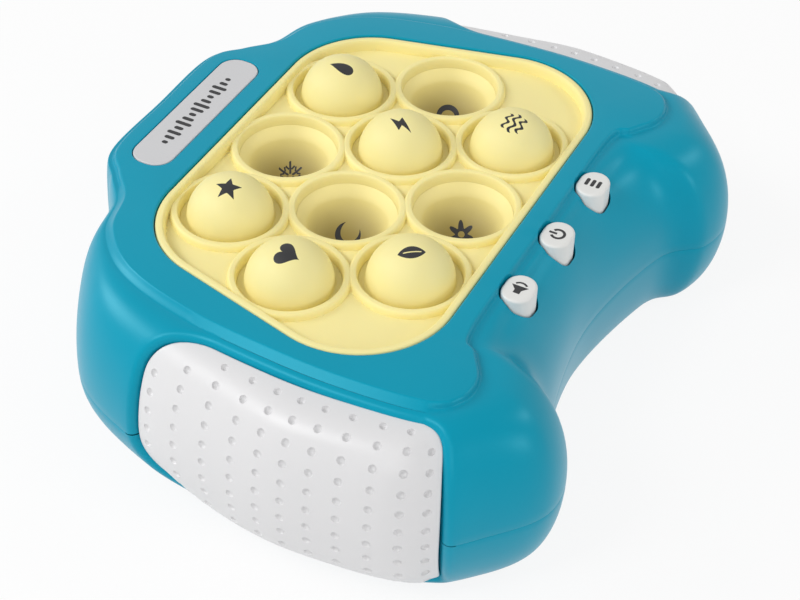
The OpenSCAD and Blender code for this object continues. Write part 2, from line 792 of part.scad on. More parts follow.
module pad_frame() {
    color("dimgray") seat() difference() {
        union() {
            slab(frame_under, pad_under) pad_outline(pad_flange_w);
            at_places(frame_boss_places, frame_under) cylinder(r = frame_ear_r, h = pad_frame_t);
            at_places(post_places, board_top) cylinder(r = post_r, h = frame_under - board_top);
        }
        at_places(bubble_places, frame_under - cut)
            cylinder(r = dome_r + 2 * move_gap, h = pad_frame_t + 2 * cut);
        at_places(frame_boss_places, frame_under - cut)
            cylinder(r = small_screw_r + seat_gap, h = pad_frame_t + 2 * cut);
        at_places(post_places, board_top - cut)
            cylinder(r = small_screw_r + pilot_gap, h = small_screw_l + cut);
    }
}

module game_board() {
    color("seagreen") seat() difference() {
        slab(board_under, board_top) pad_outline(-board_margin);
        at_places(post_places, board_under - cut)
            cylinder(r = small_screw_r + seat_gap, h = board_t + 2 * cut);
    }
}

module bubble_contacts() {
    color("dimgray") seat() at_places(bubble_places, board_top) cylinder(r = contact_r, h = contact_t);
}

module bubble_leds() {
    color("ivory") seat() at_places(bubble_places, board_top)
        translate([led_offset, 0, led_size[2] / 2]) cube(led_size, center = true);
}

module sound_chip() {
    color("black") seat() translate([0, 0, board_under - chip_h])
        cylinder(r1 = chip_top_r, r2 = chip_r, h = chip_h);
}

// Small screws driven upwards, with their heads under a face at height z
module small_screws(places, z, shank_l) {
    color("silver") seat() at_places(places, z - small_head_h)
        screw(small_screw_r, shank_l, small_head_r, small_head_h);
}

module frame_screws() {
    small_screws(frame_boss_places, frame_under, pad_frame_t + small_screw_l - seat_gap);
}

module board_screws() {
    small_screws(post_places, board_under, board_t + small_screw_l - seat_gap);
}

module button_board_screws() {
    small_screws([for (x = button_post_xs) [x, button_y]], board_under, board_t + small_screw_l - seat_gap);
}

module push_button(number) {
    color("whitesmoke") seat() translate([button_xs[number], button_y, 0]) {
        slab(button_under, button_top) button_outline();
        slab(button_under, button_under + button_ear_h)
            square([button_l + 2 * button_ear_l, button_ear_w], center = true);
    }
}

module sound_button() {
    push_button(0);
}

module power_button() {
    push_button(1);
}

module mode_button() {
    push_button(2);
}

module switch_stem(number) {
    color("black") seat() translate([button_xs[number], button_y, switch_top - stem_sink])
        cylinder(r = stem_r, h = button_under - switch_top + stem_sink);
}

module sound_switch_stem() {
    switch_stem(0);
}

module power_switch_stem() {
    switch_stem(1);
}

module mode_switch_stem() {
    switch_stem(2);
}

module button_switches() {
    color("gray") seat() for (x = button_xs)
        translate([x, button_y, board_top]) difference() {
            translate([-switch_w / 2, -switch_w / 2, 0]) cube([switch_w, switch_w, switch_h]);
            translate([0, 0, switch_h - stem_sink - button_travel - move_gap])
                cylinder(r = stem_r + pin_gap, h = switch_h);
        }
}

module button_board() {
    color("seagreen") seat() difference() {
        translate([-button_board_l / 2, button_y - button_board_w / 2, board_under])
            cube([button_board_l, button_board_w, board_t]);
        for (x = button_post_xs)
            translate([x, button_y, board_under - cut])
                cylinder(r = small_screw_r + seat_gap, h = board_t + 2 * cut);
    }
}

module button_ribbon() {
    from_y = button_y + button_board_w / 2 - ribbon_lap;
    to_y = board_margin - pad_half_d + ribbon_lap;
    color("lightgray") seat() translate([-ribbon_w / 2, from_y, board_under - ribbon_t])
        cube([ribbon_w, to_y - from_y, ribbon_t]);
}

module speaker() {
    color("gray") seat() translate([0, speaker_y, speaker_z]) difference() {
        union() {
            cylinder(r = speaker_r, h = speaker_lip_t);
            translate([0, 0, speaker_lip_t]) cylinder(
                r1 = speaker_r - speaker_lip_w / 2,
                r2 = magnet_r,
                h = speaker_h - speaker_lip_t - magnet_h
            );
            translate([0, 0, speaker_h - magnet_h]) cylinder(r = magnet_r, h = magnet_h);
        }
        translate([0, 0, -cut]) cylinder(r = speaker_r - speaker_lip_w, h = speaker_lip_t + cut);
    }
}

module speaker_cone() {
    color("black") seat() translate([0, speaker_y, speaker_z + speaker_lip_t - cone_t])
        cylinder(r = speaker_r - speaker_lip_w - seat_gap, h = cone_t);
}

module battery(number) {
    flip = number % 2 == 0 ? 180 : 0;
    color("goldenrod") seat()
        translate([0, bay_y + (number - 2) * cell_pitch, cell_z]) rotate([0, 0, flip])
            translate([spring_l / 2 - cell_l / 2, 0, 0]) rotate([0, 90, 0]) {
                cylinder(r = cell_r, h = cell_l - nub_l);
                cylinder(r = nub_r, h = cell_l);
            }
}

// The flat plates behind the cells' ends and the springs on three of them
module cell_ends() {
    for (number = [1:3])
        translate([0, bay_y + (number - 2) * cell_pitch, cell_z])
            rotate([0, 0, number % 2 == 0 ? 180 : 0]) children();
}

module battery_contacts() {
    color("silver") seat() cell_ends() for (side = [-1, 1])
        translate([side * (bay_half_l - contact_plate_t / 2 - seat_gap / 2), 0, 0])
            cube([contact_plate_t, contact_plate_w, contact_plate_w], center = true);
}

module battery_springs() {
    color("silver") seat() cell_ends()
        translate([-bay_half_l + contact_plate_t + seat_gap, 0, 0]) rotate([0, 90, 0]) difference() {
            cylinder(r = spring_r, h = spring_l);
            translate([0, 0, -cut]) cylinder(r = spring_r - spring_wire, h = spring_l + 2 * cut);
        }
}

module door_outline(grow = 0) {
    square(2 * [door_half_l + grow, door_half_w + grow], center = true);
    translate([door_half_l, 0])
        square([2 * (door_screw_x - door_half_l), door_tab_w + 2 * grow], center = true);
    translate([door_screw_x, 0]) circle(door_tab_w / 2 + grow);
}

module battery_door() {
    color("darkcyan") seat() translate([0, bay_y, 0]) difference() {
        union() {
            intersection() {
                slab(door_inset, door_top) door_outline();
                translate([door_axis_x, -door_half_w, 0])
                    cube([4 * door_half_l, 2 * door_half_w, plate_top]);
            }
            translate([door_axis_x, -door_half_w - door_pin_l, door_axis_z]) rotate([-90, 0, 0])
                cylinder(r = door_pin_r, h = 2 * (door_half_w + door_pin_l));
            translate([door_axis_x, -door_half_w, door_axis_z]) rotate([-90, 0, 0])
                cylinder(r = door_t / 2, h = 2 * door_half_w);
        }
        translate([door_screw_x, 0, -cut]) cylinder(r = small_screw_r + seat_gap, h = door_top + 2 * cut);
        translate([door_screw_x, 0, -cut])
            cylinder(r = small_head_r + seat_gap, h = cut + door_inset + door_head_sink);
    }
}

module door_screw() {
    head_h = small_head_h - seat_gap;
    seat_z = door_inset + door_head_sink - seat_gap / 2;
    color("silver") seat() translate([door_screw_x, bay_y, seat_z - head_h])
        screw(small_screw_r, door_t - door_head_sink + door_screw_l, small_head_r, head_h);
}

module case_screws() {
    color("silver") seat() at_places(case_boss_places, case_well_h - screw_head_h - seat_gap / 2)
        screw(screw_r, seam_z - case_well_h + screw_l - seat_gap, screw_head_r, screw_head_h);
}

module speaker_lead() {
    color("crimson") seat() wire(speaker_lead_route, lead_r);
}

module battery_lead() {
    color("crimson") seat() wire(battery_lead_route, lead_r);
}

top_shell();
bottom_shell();
left_grip_panel();
right_grip_panel();
label_plate();
bubble_pad();
for (i = [1:bubble_total])
    bubble(i);
pad_frame();
game_board();
bubble_contacts();
bubble_leds();
sound_chip();
frame_screws();
board_screws();
sound_button();
power_button();
mode_button();
sound_switch_stem();
power_switch_stem();
mode_switch_stem();
button_switches();
button_board();
button_board_screws();
button_ribbon();
speaker();
speaker_cone();
for (i = [1:3])
    battery(i);
battery_contacts();
battery_springs();
battery_door();
door_screw();
case_screws();
speaker_lead();
battery_lead();
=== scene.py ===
import math

import bmesh
import bpy
import numpy as np
from mathutils import Matrix, Vector
from mathutils.geometry import delaunay_2d_cdt


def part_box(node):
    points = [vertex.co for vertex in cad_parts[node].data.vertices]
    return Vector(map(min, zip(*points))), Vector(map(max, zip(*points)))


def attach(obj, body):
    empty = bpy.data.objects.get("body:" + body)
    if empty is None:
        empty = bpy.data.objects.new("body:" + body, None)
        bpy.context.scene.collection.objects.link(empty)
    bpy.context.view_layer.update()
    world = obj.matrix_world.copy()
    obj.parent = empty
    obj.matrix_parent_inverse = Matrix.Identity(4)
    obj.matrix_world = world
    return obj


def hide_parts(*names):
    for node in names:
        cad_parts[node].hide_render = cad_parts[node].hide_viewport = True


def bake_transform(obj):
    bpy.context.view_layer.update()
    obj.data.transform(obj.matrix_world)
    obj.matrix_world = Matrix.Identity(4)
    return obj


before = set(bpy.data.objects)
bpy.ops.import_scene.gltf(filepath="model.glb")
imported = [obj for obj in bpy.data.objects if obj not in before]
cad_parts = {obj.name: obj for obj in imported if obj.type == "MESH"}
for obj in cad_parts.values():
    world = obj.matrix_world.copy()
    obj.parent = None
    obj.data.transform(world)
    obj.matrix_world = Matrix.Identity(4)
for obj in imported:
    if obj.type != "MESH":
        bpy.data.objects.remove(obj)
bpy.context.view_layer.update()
print("frame loaded")

# Lengths below are millimetres in the row frame, turned to metres when a mesh is made


def ease(x):
    x = np.clip(x, 0, 1)
    return x * x * (3 - 2 * x)


def mix(a, b, t):
    return a + (b - a) * t


def unit(v):
    return v / np.maximum(np.linalg.norm(v, axis=-1, keepdims=True), 1e-12)


def join(*rows):
    return np.concatenate(rows)


def beside(*values):  # as the columns of one array
    return np.stack(values, -1)


def gridFaces(rows, cols, closed):  # four-sided faces of a grid of points, joined round each row when closed
    i, j = np.meshgrid(np.arange(rows - 1), np.arange(cols if closed else cols - 1), indexing="ij")
    k = (j + 1) % cols
    return beside(i * cols + j, i * cols + k, (i + 1) * cols + k, (i + 1) * cols + j).reshape(-1, 4)


def faceNormals(points, faces):
    return np.cross(points[faces[:, 1]] - points[faces[:, 0]], points[faces[:, -1]] - points[faces[:, 0]])


def inLoop(points, loop):  # even-odd count of the loop's edges to the right of each point
    a, b = loop, np.roll(loop, -1, 0)
    rise = np.where(np.abs(b[:, 1] - a[:, 1]) < 1e-12, 1e-12, b[:, 1] - a[:, 1])
    found = np.zeros(len(points), bool)
    for k in range(0, len(points), 4000):
        x, y = points[k:k + 4000, 0, None], points[k:k + 4000, 1, None]
        spans = (a[:, 1] > y) != (b[:, 1] > y)
        found[k:k + 4000] = (spans & (x < a[:, 0] + (y - a[:, 1]) * (b[:, 0] - a[:, 0]) / rise)).sum(1) % 2 == 1
    return found


def cutSheet(border, holes, inner, place, facing, lines=()):
    # Triangles between a border, its holes and inner points on a flat chart, laid on a surface by place(chart);
    # facing(points) is the side each triangle shows; lines become edges of the mesh and cut nothing away
    loops = [np.asarray(q, float) for q in [border, *holes, *lines]]
    chart = join(*loops, np.asarray(inner, float).reshape(-1, 2))
    first = np.cumsum([0] + [len(q) for q in loops])
    edges = [beside(np.arange(len(q)), np.roll(np.arange(len(q)), -1)) + a for q, a in zip(loops, first)]
    out = delaunay_2d_cdt([Vector(p) for p in chart], np.concatenate(edges).tolist(), [], 0, 1e-6)
    flat = np.array([v[:] for v in out[0]])
    tris = np.array(out[2])
    middle = flat[tris].mean(1)
    keep = inLoop(middle, loops[0])
    for q in loops[1:1 + len(holes)]:
        keep &= ~inLoop(middle, q)
    tris = tris[keep]
    points = place(flat)
    turned = (faceNormals(points, tris) * facing(points[tris].mean(1))).sum(1) < 0
    tris[turned] = tris[turned][:, ::-1]
    return points, tris


def carry(path, across, sink, profile, closed=True):
    # A profile of (across, sink) pairs carried along a path: point + across * a + sink * d
    profile = np.asarray(profile, float)
    rows = path + across * profile[:, 0, None, None] + sink * profile[:, 1, None, None]
    points = rows.reshape(-1, 3)
    faces = gridFaces(len(profile), len(path), closed)
    lead = faces[:len(path) - (0 if closed else 1)]
    if (faceNormals(points, lead) * sink[:len(lead)]).sum() > 0:
        faces = faces[:, ::-1]
    return points, faces


def quarter(r, start=(0.0, 0.0), steps=5):  # quarter round that turns from across to down
    a = np.linspace(0, np.pi / 2, steps)
    return beside(start[0] + r * np.sin(a), start[1] + r * (1 - np.cos(a)))


def lip(r, flat, *after):  # profile of a short flat, a quarter round and the points after it
    return join([[0, 0]], quarter(r, (flat, 0.0)), after)


def facingUp(points):
    return np.tile([0.0, 0.0, 1.0], (len(points), 1))


def facingDown(points):
    return np.tile([0.0, 0.0, -1.0], (len(points), 1))


def flatLoop(xy, z):
    return np.concatenate([xy, np.full((len(xy), 1), float(z))], 1)


def loopFrames(points, towards):  # sideways direction in the flat: +1 to the left of travel, -1 to the right
    t = unit(np.roll(points, -1, 0) - np.roll(points, 1, 0))
    return beside(-t[:, 1], t[:, 0], np.zeros(len(t))) * towards


def flatSheet(border, holes, z, facing, mark=0):
    return (*cutSheet(border, holes, np.zeros((0, 2)), lambda q: flatLoop(q, z), facing), mark)


def wall(loop, z, towards, facing, profile):  # a profile carried round a flat loop, sinking the way it faces
    path = flatLoop(loop, z)
    return (*carry(path, loopFrames(path, towards), facing(path), profile), 0)


def gridFill(lowX, highX, lowY, highY, gap):
    return np.stack(np.meshgrid(np.arange(lowX, highX, gap), np.arange(lowY, highY, gap)), -1).reshape(-1, 2)


def nearest(points, marks):  # distance from each point to the closest mark
    return np.concatenate([np.linalg.norm(points[k:k + 3000, None] - marks[None], axis=2).min(1)
                           for k in range(0, len(points), 3000)])


def lengthTable(points):  # running length along a row of points
    return join([0], np.cumsum(np.linalg.norm(np.diff(points, axis=0), axis=1)))


def sideways(p, n, towards, closed=False):  # direction across a path on a surface, towards a given direction
    t = np.roll(p, -1, 0) - np.roll(p, 1, 0) if closed else np.gradient(p, axis=0)
    across = unit(np.cross(n, unit(t)))
    return across * np.sign((across * towards).sum(1))[:, None]


def around(n):  # even angles of a full turn
    return np.linspace(0, 2 * np.pi, n, endpoint=False)


def arc(centre, r, angles):
    return np.array(centre) + r * beside(np.cos(angles), np.sin(angles))


def circle(centre, r, n=40):
    return arc(centre, r, around(n))


def makePiece(name, parts, finishes, bodyName=None, sharp=38):
    # parts are (points, faces, finish number); shared borders are merged
    verts, polys, marks, base = [], [], [], 0
    for points, faces, mark in parts:
        verts.append(points)
        polys += (np.asarray(faces) + base).tolist()
        marks += [mark] * len(faces)
        base += len(points)
    mesh = bpy.data.meshes.new(name)
    mesh.from_pydata((np.concatenate(verts) * 0.001).tolist(), [], polys)
    mesh.polygons.foreach_set("material_index", marks)
    for finish in finishes:
        mesh.materials.append(finish)
    work = bmesh.new()
    work.from_mesh(mesh)
    bmesh.ops.remove_doubles(work, verts=work.verts, dist=4e-6)
    bmesh.ops.dissolve_degenerate(work, edges=work.edges, dist=1e-7)
    work.to_mesh(mesh)
    work.free()
    mesh.shade_smooth()
    mesh.set_sharp_from_angle(angle=math.radians(sharp))
    piece = bpy.data.objects.new(name, mesh)
    bpy.context.scene.collection.objects.link(piece)
    if bodyName:
        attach(piece, bodyName)
    return piece


# Finishes


def linear(code):  # sRGB hex to linear
    c = np.array([int(code[k:k + 2], 16) for k in (1, 3, 5)]) / 255
    return (*np.where(c <= 0.04045, c / 12.92, ((c + 0.055) / 1.055) ** 2.4).tolist(), 1.0)


def addNode(tree, kind, settings=None, **links):
    node = tree.nodes.new("ShaderNode" + kind)
    for key, value in (settings or {}).items():
        if key in node.inputs:
            node.inputs[key].default_value = value
        else:
            setattr(node, key, value)
    for key, source in links.items():
        tree.links.new(source, node.inputs[key.replace("_", " ")])
    return node


def newFinish(name, colour, shade, grain, roughness, ior, bump, sockets=None, rough=(0.06, 40.0)):
    # colour to shade by soft patches, grain in millimetres for the bump, roughness broken by a second scale
    finish = bpy.data.materials.new(name)
    finish.use_nodes = True
    tree = finish.node_tree
    surface = tree.nodes["Principled BSDF"]
    place = addNode(tree, "TexCoord").outputs["Object"]
    patches = addNode(tree, "TexNoise", {"Scale": 1000 / 26.0, "Detail": 3.0}, Vector=place)
    tint = addNode(tree, "Mix", {"data_type": "RGBA", "clamp_factor": True})
    tint.inputs[6].default_value = linear(colour)
    tint.inputs[7].default_value = linear(shade)
    tree.links.new(patches.outputs["Fac"], tint.inputs[0])
    tree.links.new(tint.outputs[2], surface.inputs["Base Color"])
    fine = addNode(tree, "TexNoise", {"Scale": 1000 / grain, "Detail": 2.0, "Roughness": 0.6},
                   Vector=place)
    wear = addNode(tree, "TexNoise", {"Scale": 1000 / rough[1], "Detail": 4.0}, Vector=place)
    spread = addNode(tree, "MapRange", {"To Min": roughness - rough[0], "To Max": roughness + rough[0]},
                     Value=wear.outputs["Fac"])
    tree.links.new(spread.outputs["Result"], surface.inputs["Roughness"])
    relief = addNode(tree, "Bump", {"Strength": bump, "Distance": 0.0001}, Height=fine.outputs["Fac"])
    tree.links.new(relief.outputs["Normal"], surface.inputs["Normal"])
    surface.inputs["IOR"].default_value = ior
    for key, value in (sockets or {}).items():
        surface.inputs[key].default_value = value
    return finish


# ABS moulded in blue, fine satin texture from the tool: soft highlights, tinted by the plastic, no mirror
blueSheen = {"Specular IOR Level": 0.36, "Specular Tint": (0.3, 0.88, 1.0, 1.0)}
blueAbs = newFinish("blueMouldedAbs", "#0097b4", "#0090ab", 0.45, 0.33, 1.53, 0.05, blueSheen, (0.04, 40.0))
# ABS moulded in white for the grips: brighter, a broad soft highlight
whiteAbs = newFinish("whiteMouldedAbs", "#dfdedf", "#dadadb", 0.5, 0.34, 1.53, 0.08)
# ABS for the label: cool light grey, satin
greyAbs = newFinish("greyMouldedAbs", "#cfcfd1", "#cacacc", 0.5, 0.4, 1.53, 0.08)
# ABS for the caps: off-white, polished by fingers
capAbs = newFinish("offWhiteCapAbs", "#e8e8e5", "#e3e3e0", 0.5, 0.35, 1.53, 0.04)
# Silicone, compression moulded: matte, light goes a little way in
creamSilicone = newFinish("creamMouldedSilicone", "#faeda8", "#f5e8a0", 0.6, 0.52, 1.41, 0.14,
                          {"Subsurface Weight": 0.1, "Subsurface Radius": (1.0, 0.7, 0.35),
                           "Subsurface Scale": 0.0025})
# The same silicone pushed through, with painted shade: its colour darkens towards the bottom of the cup, for the
# shade deep in the cup and the dark inside behind the thin silicone
paintedShadeSilicone = newFinish("creamSiliconePaintedShade", "#faeda8", "#f5e8a0", 0.6, 0.52, 1.41, 0.14)
tree = paintedShadeSilicone.node_tree
surface = tree.nodes["Principled BSDF"]
height = addNode(tree, "SeparateXYZ", Vector=addNode(tree, "TexCoord").outputs["Object"])
# painted shade: from the cup's mouth height down to its bottom the base colour is multiplied darker
shadeSpan = {"From Min": 0.0372, "From Max": 0.0290, "interpolation_type": "SMOOTHSTEP"}
depth = addNode(tree, "MapRange", shadeSpan, Value=height.outputs["Z"])
paintedShade = addNode(tree, "Mix", {"data_type": "RGBA", "blend_type": "MULTIPLY"})
tree.links.new(depth.outputs["Result"], paintedShade.inputs[0])
tree.links.new(surface.inputs["Base Color"].links[0].from_socket, paintedShade.inputs[6])
# colour of the painted shade at the cup's bottom
paintedShade.inputs[7].default_value = linear("#a89f86")
tree.links.new(paintedShade.outputs[2], surface.inputs["Base Color"])
# Pad-printed ink: flat black with a slight sheen
blackInk = newFinish("blackPrintedInk", "#151517", "#1b1b1e", 0.4, 0.45, 1.5, 0.05)
# ABS of the inner pieces, undyed grey
frameAbs = newFinish("greyFrameAbs", "#5d6268", "#565b60", 0.6, 0.5, 1.53, 0.1)
# Glass laminate with green solder mask over it
boardLaminate = newFinish("greenBoardLaminate", "#1d6b43", "#185c3a", 1.2, 0.35, 1.55, 0.12)
# Carbon ink on the board: dull near-black
carbonInk = newFinish("carbonContactInk", "#26272a", "#1f2023", 0.5, 0.6, 1.5, 0.1)
# Lamp caps in cloudy epoxy
lampEpoxy = newFinish("cloudyLampEpoxy", "#f2ecd2", "#ece4c4", 0.8, 0.25, 1.55, 0.04,
                      {"Subsurface Weight": 0.3, "Subsurface Scale": 0.001})
# Potting resin: poured, glossy black
pottingResin = newFinish("blackPottingResin", "#131415", "#191a1b", 2.0, 0.2, 1.55, 0.1)
# Nylon of the switches: grey, slightly waxy
switchNylon = newFinish("greySwitchNylon", "#8a8d90", "#828589", 0.7, 0.42, 1.53, 0.08)
# Zinc-plated steel, rolled or turned: bright grey metal with faint blotches
platedSteel = newFinish("zincPlatedSteel", "#c3c6c9", "#b3b7bb", 0.4, 0.35, 1.5, 0.12, {"Metallic": 1.0})
# Pressed steel of the speaker's basket: duller grey metal
speakerSteel = newFinish("pressedSpeakerSteel", "#8f9397", "#84888c", 0.6, 0.38, 1.5, 0.12, {"Metallic": 1.0})
# Cone of coated paper: dull black with fibres
coneFilm = newFinish("blackConePaper", "#1c1c1e", "#252528", 0.5, 0.7, 1.45, 0.3)
# Cell jackets: printed film, here a plain two-tone
cellJacket = newFinish("greyCellJacket", "#8f979e", "#868e95", 1.5, 0.35, 1.5, 0.03)
# Polyester film of the ribbon: plain grey, satin
ribbonFilm = newFinish("greyRibbonFilm", "#b9bcbf", "#b0b3b6", 1.0, 0.4, 1.58, 0.06)
# PVC sleeve of the leads: red, slightly glossy
leadPvc = newFinish("redLeadPvc", "#b52a26", "#a92521", 0.5, 0.38, 1.53, 0.05)
print("finishes made")

# The case's form: three outlines that run round together, on the face plate, the parting line and the base

low, high = (np.array(p) * 1000 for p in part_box("bubble_4"))
shiftY = (low[1] + high[1]) / 2  # the middle row of bubbles lies on the form's own zero line
case = dict(pitch=24.0, ringR=10.6, ringW=1.6, rowMargin=1.0, backMargin=9.8, frontMargin=16.8, padCornerR=20.0,
            plateTop=42.0, seam=17.5, sideW=4.4, frontW=4.5, backW=3.7, bumpRise=14.0, bevelW=1.6, bevelH=1.4,
            sideSwell=17.3, lobeSwell=19.1, saddleSwell=11.5, baseDraw=11.5, labelW=42.0, cornerStep=7.0,
            bumpRound=2.5, inside=0.06, fuller=0.28, fullerFrom=10, fullerRun=8)
rowPitch = case["pitch"] * 3 ** 0.5 / 2
ringOuter = case["ringR"] + case["ringW"]
padHalfD = rowPitch + ringOuter + case["rowMargin"]
padCornerY = padHalfD - case["padCornerR"]
padBackX = case["pitch"] + ringOuter + case["backMargin"] - case["padCornerR"]
padFrontX = case["pitch"] + ringOuter + case["frontMargin"] - case["padCornerR"]
halfW = padFrontX + case["padCornerR"] + case["sideW"]
frontY = -padHalfD - case["frontW"]
backY = padHalfD + case["backW"]
bumpY = backY + case["bumpRise"]
cornerY = frontY - case["cornerStep"]
lobeY = cornerY - case["lobeSwell"]
saddleY = frontY - case["saddleSwell"]
bellyW = halfW + case["sideSwell"]
baseW = bellyW - case["baseDraw"]
bumpHalf = case["labelW"] / 2 - case["bumpRound"]
plateTop, shoulder, seam = case["plateTop"], case["plateTop"] - case["bevelH"], case["seam"]
stations = np.array([
    [[0, bumpY], [0, bumpY + 2.4], [0, bumpY - 2]],
    [[bumpHalf, bumpY - 0.2], [bumpHalf + 1, bumpY + 2.2], [bumpHalf - 0.5, bumpY - 2]],
    [[bumpHalf + 7, bumpY - 5], [bumpHalf + 8.5, bumpY - 1.8], [bumpHalf + 5, bumpY - 5]],
    [[bumpHalf + 13.5, backY + 3.5], [bumpHalf + 17.5, backY + 7.8], [bumpHalf + 11, backY + 5]],
    [[halfW - 15.7, backY], [bellyW - 26, backY + 5.5], [baseW - 24, backY + 1]],
    [[halfW - 7.2, backY - 9.5], [bellyW - 11.5, backY - 5], [baseW - 17, backY - 14]],
    [[halfW - 2.2, backY - 26], [bellyW - 3.5, backY - 24], [baseW - 9, backY - 30]],
    [[halfW - 0.2, backY - 46], [bellyW, backY - 46], [baseW - 1, backY - 46]],
    [[halfW, frontY + 14.5], [bellyW - 0.2, frontY + 12.5], [baseW, frontY + 14.5]],
    [[halfW - 1.7, cornerY + 5.5], [bellyW - 4, cornerY + 1], [baseW - 2.5, cornerY + 3]],
    [[halfW - 5.7, cornerY + 0.5], [bellyW - 15, lobeY + 8], [baseW - 8.5, cornerY - 6.5]],
    [[halfW - 11.7, cornerY], [bellyW - 25, lobeY + 0.8], [baseW - 16, cornerY - 11]],
    [[halfW - 17.7, cornerY + 3.5], [bellyW - 36, lobeY + 1.8], [baseW - 24, cornerY - 10]],
    [[halfW - 23.7, frontY - 0.1], [bellyW - 45.5, saddleY - 5], [baseW - 32, frontY - 12]],
    [[0, frontY], [0, saddleY], [0, frontY - 7]]])
stations = stations + [0, shiftY]
loops = join(stations, stations[-2:0:-1] * [-1, 1])
total = len(loops)
half = total // 2


def runRound(which, s):  # smooth curve through a loop's points and its outward direction, at station s
    s = np.asarray(s, float)
    i = np.floor(s).astype(int)
    u = (s - i)[..., None]
    a, b, c, d = (loops[(i + k) % total, which] for k in (-1, 0, 1, 2))
    p = 0.5 * (2 * b + (c - a) * u + (2 * a - 5 * b + 4 * c - d) * u ** 2 + (3 * b - a - 3 * c + d) * u ** 3)
    t = 0.5 * ((c - a) + 2 * (2 * a - 5 * b + 4 * c - d) * u + 3 * (3 * b - a - 3 * c + d) * u ** 2)
    return p, unit(beside(-t[..., 1], t[..., 0]))


def skin(s, level):
    # Quarter oval from the bevel to the parting line for level 0 to 1, another from there to the base for 1 to 2
    s, level = np.broadcast_arrays(np.asarray(s, float), np.asarray(level, float))
    plate, out = runRound(0, s)
    edge = plate + case["bevelW"] * out
    belly, outBelly = runRound(1, s)
    belly, base = belly - case["inside"] * outBelly, runRound(2, s)[0]  # a hair inside the part's own box
    upper = level <= 1
    angle = np.pi / 2 * np.where(upper, level, level - 1)
    reach = belly - edge
    far = (np.linalg.norm(reach, axis=-1) - case["fullerFrom"]) / case["fullerRun"]
    power = 1 - case["fuller"] * np.clip(far, 0, 1)  # the oval is fuller where it reaches further out
    swell = np.maximum(np.sin(angle), 1e-3) ** power
    down = belly - (belly - base) * (1 - np.cos(angle))[..., None]
    xy = np.where(upper[..., None], edge + reach * swell[..., None], down)
    z = np.where(upper, shoulder - (shoulder - seam) * (1 - np.cos(angle)), seam * (1 - np.sin(angle)))
    return np.concatenate([xy, z[..., None]], -1)


def skinNormal(s, level):  # cross product of the skin's two slopes
    h = 1e-4
    level = np.clip(level, 0.004, 2)
    alongS = skin(s + h, level) - skin(s - h, level)
    alongL = skin(s, np.minimum(level + h, 2)) - skin(s, level - h)
    return unit(np.cross(alongS, alongL))


# The grips' windows: ends in stations, upper and lower borders in levels, radii of the five corners
window = dict(start=5.87, end=9.4, high=0.047, frontHigh=0.026, low=1.72, backLow=1.3, lowStart=6.8,
              radii=(13.5, 9.0, 4.5, 20.0, 17.0), deep=3.6, ledge=1.2)
gripMiddle, gripLevel = 7.6, 0.6  # station and level along which lengths on a grip are measured
tableS, tableL = np.linspace(4, 11, 701), np.linspace(0, 2, 2001)
alongTable = lengthTable(skin(tableS, np.full(len(tableS), gripLevel)))
downTable = lengthTable(skin(np.full(len(tableL), gripMiddle), tableL))
seamLength = np.interp(1.0, tableL, downTable)


def gripChart(s, level):  # station and level to millimetres along and down the skin
    return beside(np.interp(s, tableS, alongTable), np.interp(level, tableL, downTable))


def gripStation(chart):
    return np.interp(chart[:, 0], alongTable, tableS), np.interp(chart[:, 1], downTable, tableL)


def windowLoop(grow, steps=15):
    # The window's border: five corners joined by straight sides, each corner an arc that touches both sides;
    # sides move out by grow and the arcs' radii grow with them
    w = window
    corners = gripChart(np.array([w["start"], w["end"], w["end"], w["lowStart"], w["start"]]),
                        np.array([w["high"], w["frontHigh"], w["low"], w["low"], w["backLow"]]))
    before, after = unit(corners - np.roll(corners, 1, 0)), unit(np.roll(corners, -1, 0) - corners)
    found = []
    for corner, a, b, radius in zip(corners, before, after, w["radii"]):
        turn = math.atan2(a[0] * b[1] - a[1] * b[0], a @ b)
        centre = corner - a * radius * math.tan(turn / 2) + np.array([-a[1], a[0]]) * radius
        first = math.atan2(-a[0], a[1])
        found.append(arc(centre, radius + grow, np.linspace(first, first + turn, steps)))
    return evenLoop(np.concatenate(found), 0.8)


def windowPath(lower, grow):  # the border's part above or below the parting line, from back to front
    loop = windowLoop(grow)
    above = loop[:, 1] < seamLength
    loop = np.roll(loop, -np.flatnonzero(above & ~np.roll(above, 1))[0], 0)
    upper, rest = loop[:above.sum()], loop[above.sum():]
    cross = lambda a, b: a + (b - a) * (seamLength - a[1]) / (b[1] - a[1])
    back, front = cross(rest[-1], upper[0]), cross(upper[-1], rest[0])
    return np.stack(gripStation(join([back], rest[::-1] if lower else upper, [front])), 1)


bandEnds = (6.1, 9.1)  # stations where the chamfer over a grip ends


def columnsRound():  # station columns, closer together where the bevel changes at the windows' ends
    even = np.arange(0, total, 1 / 13)
    close = [e + d for w in bandEnds for e in (w, total - w) for d in (-0.12, -0.06, 0, 0.06, 0.12)]
    both = np.unique(np.round(join(even, close), 5))
    return both[join([True], np.diff(both) > 0.012)]


columns = columnsRound()

# Offset and drop of the step from the face plate to the skin: a round edge with a hollow foot, wider at the back
# shoulders, a chamfer over the grips
roundStep = np.array([(-0.35, 0), (-0.15, 0.03), (0.05, 0.14), (0.22, 0.34), (0.36, 0.62), (0.46, 0.92),
                      (0.56, 1.16), (0.72, 1.32), (0.95, 1.39), (1.25, 1.4), (1.6, 1.4)])
backStep = np.array([(-0.4, 0), (-0.2, 0.02), (-0.05, 0.1), (0.12, 0.28), (0.35, 0.52), (0.6, 0.75), (0.85, 0.95),
                     (1.1, 1.12), (1.3, 1.25), (1.45, 1.34), (1.6, 1.4)])
gripStep = np.array([(-0.3, 0), (-0.18, 0.01), (-0.06, 0.05), (0.2, 0.25), (0.45, 0.46), (0.7, 0.67), (0.95, 0.88),
                     (1.15, 1.05), (1.33, 1.2), (1.48, 1.32), (1.6, 1.4)])


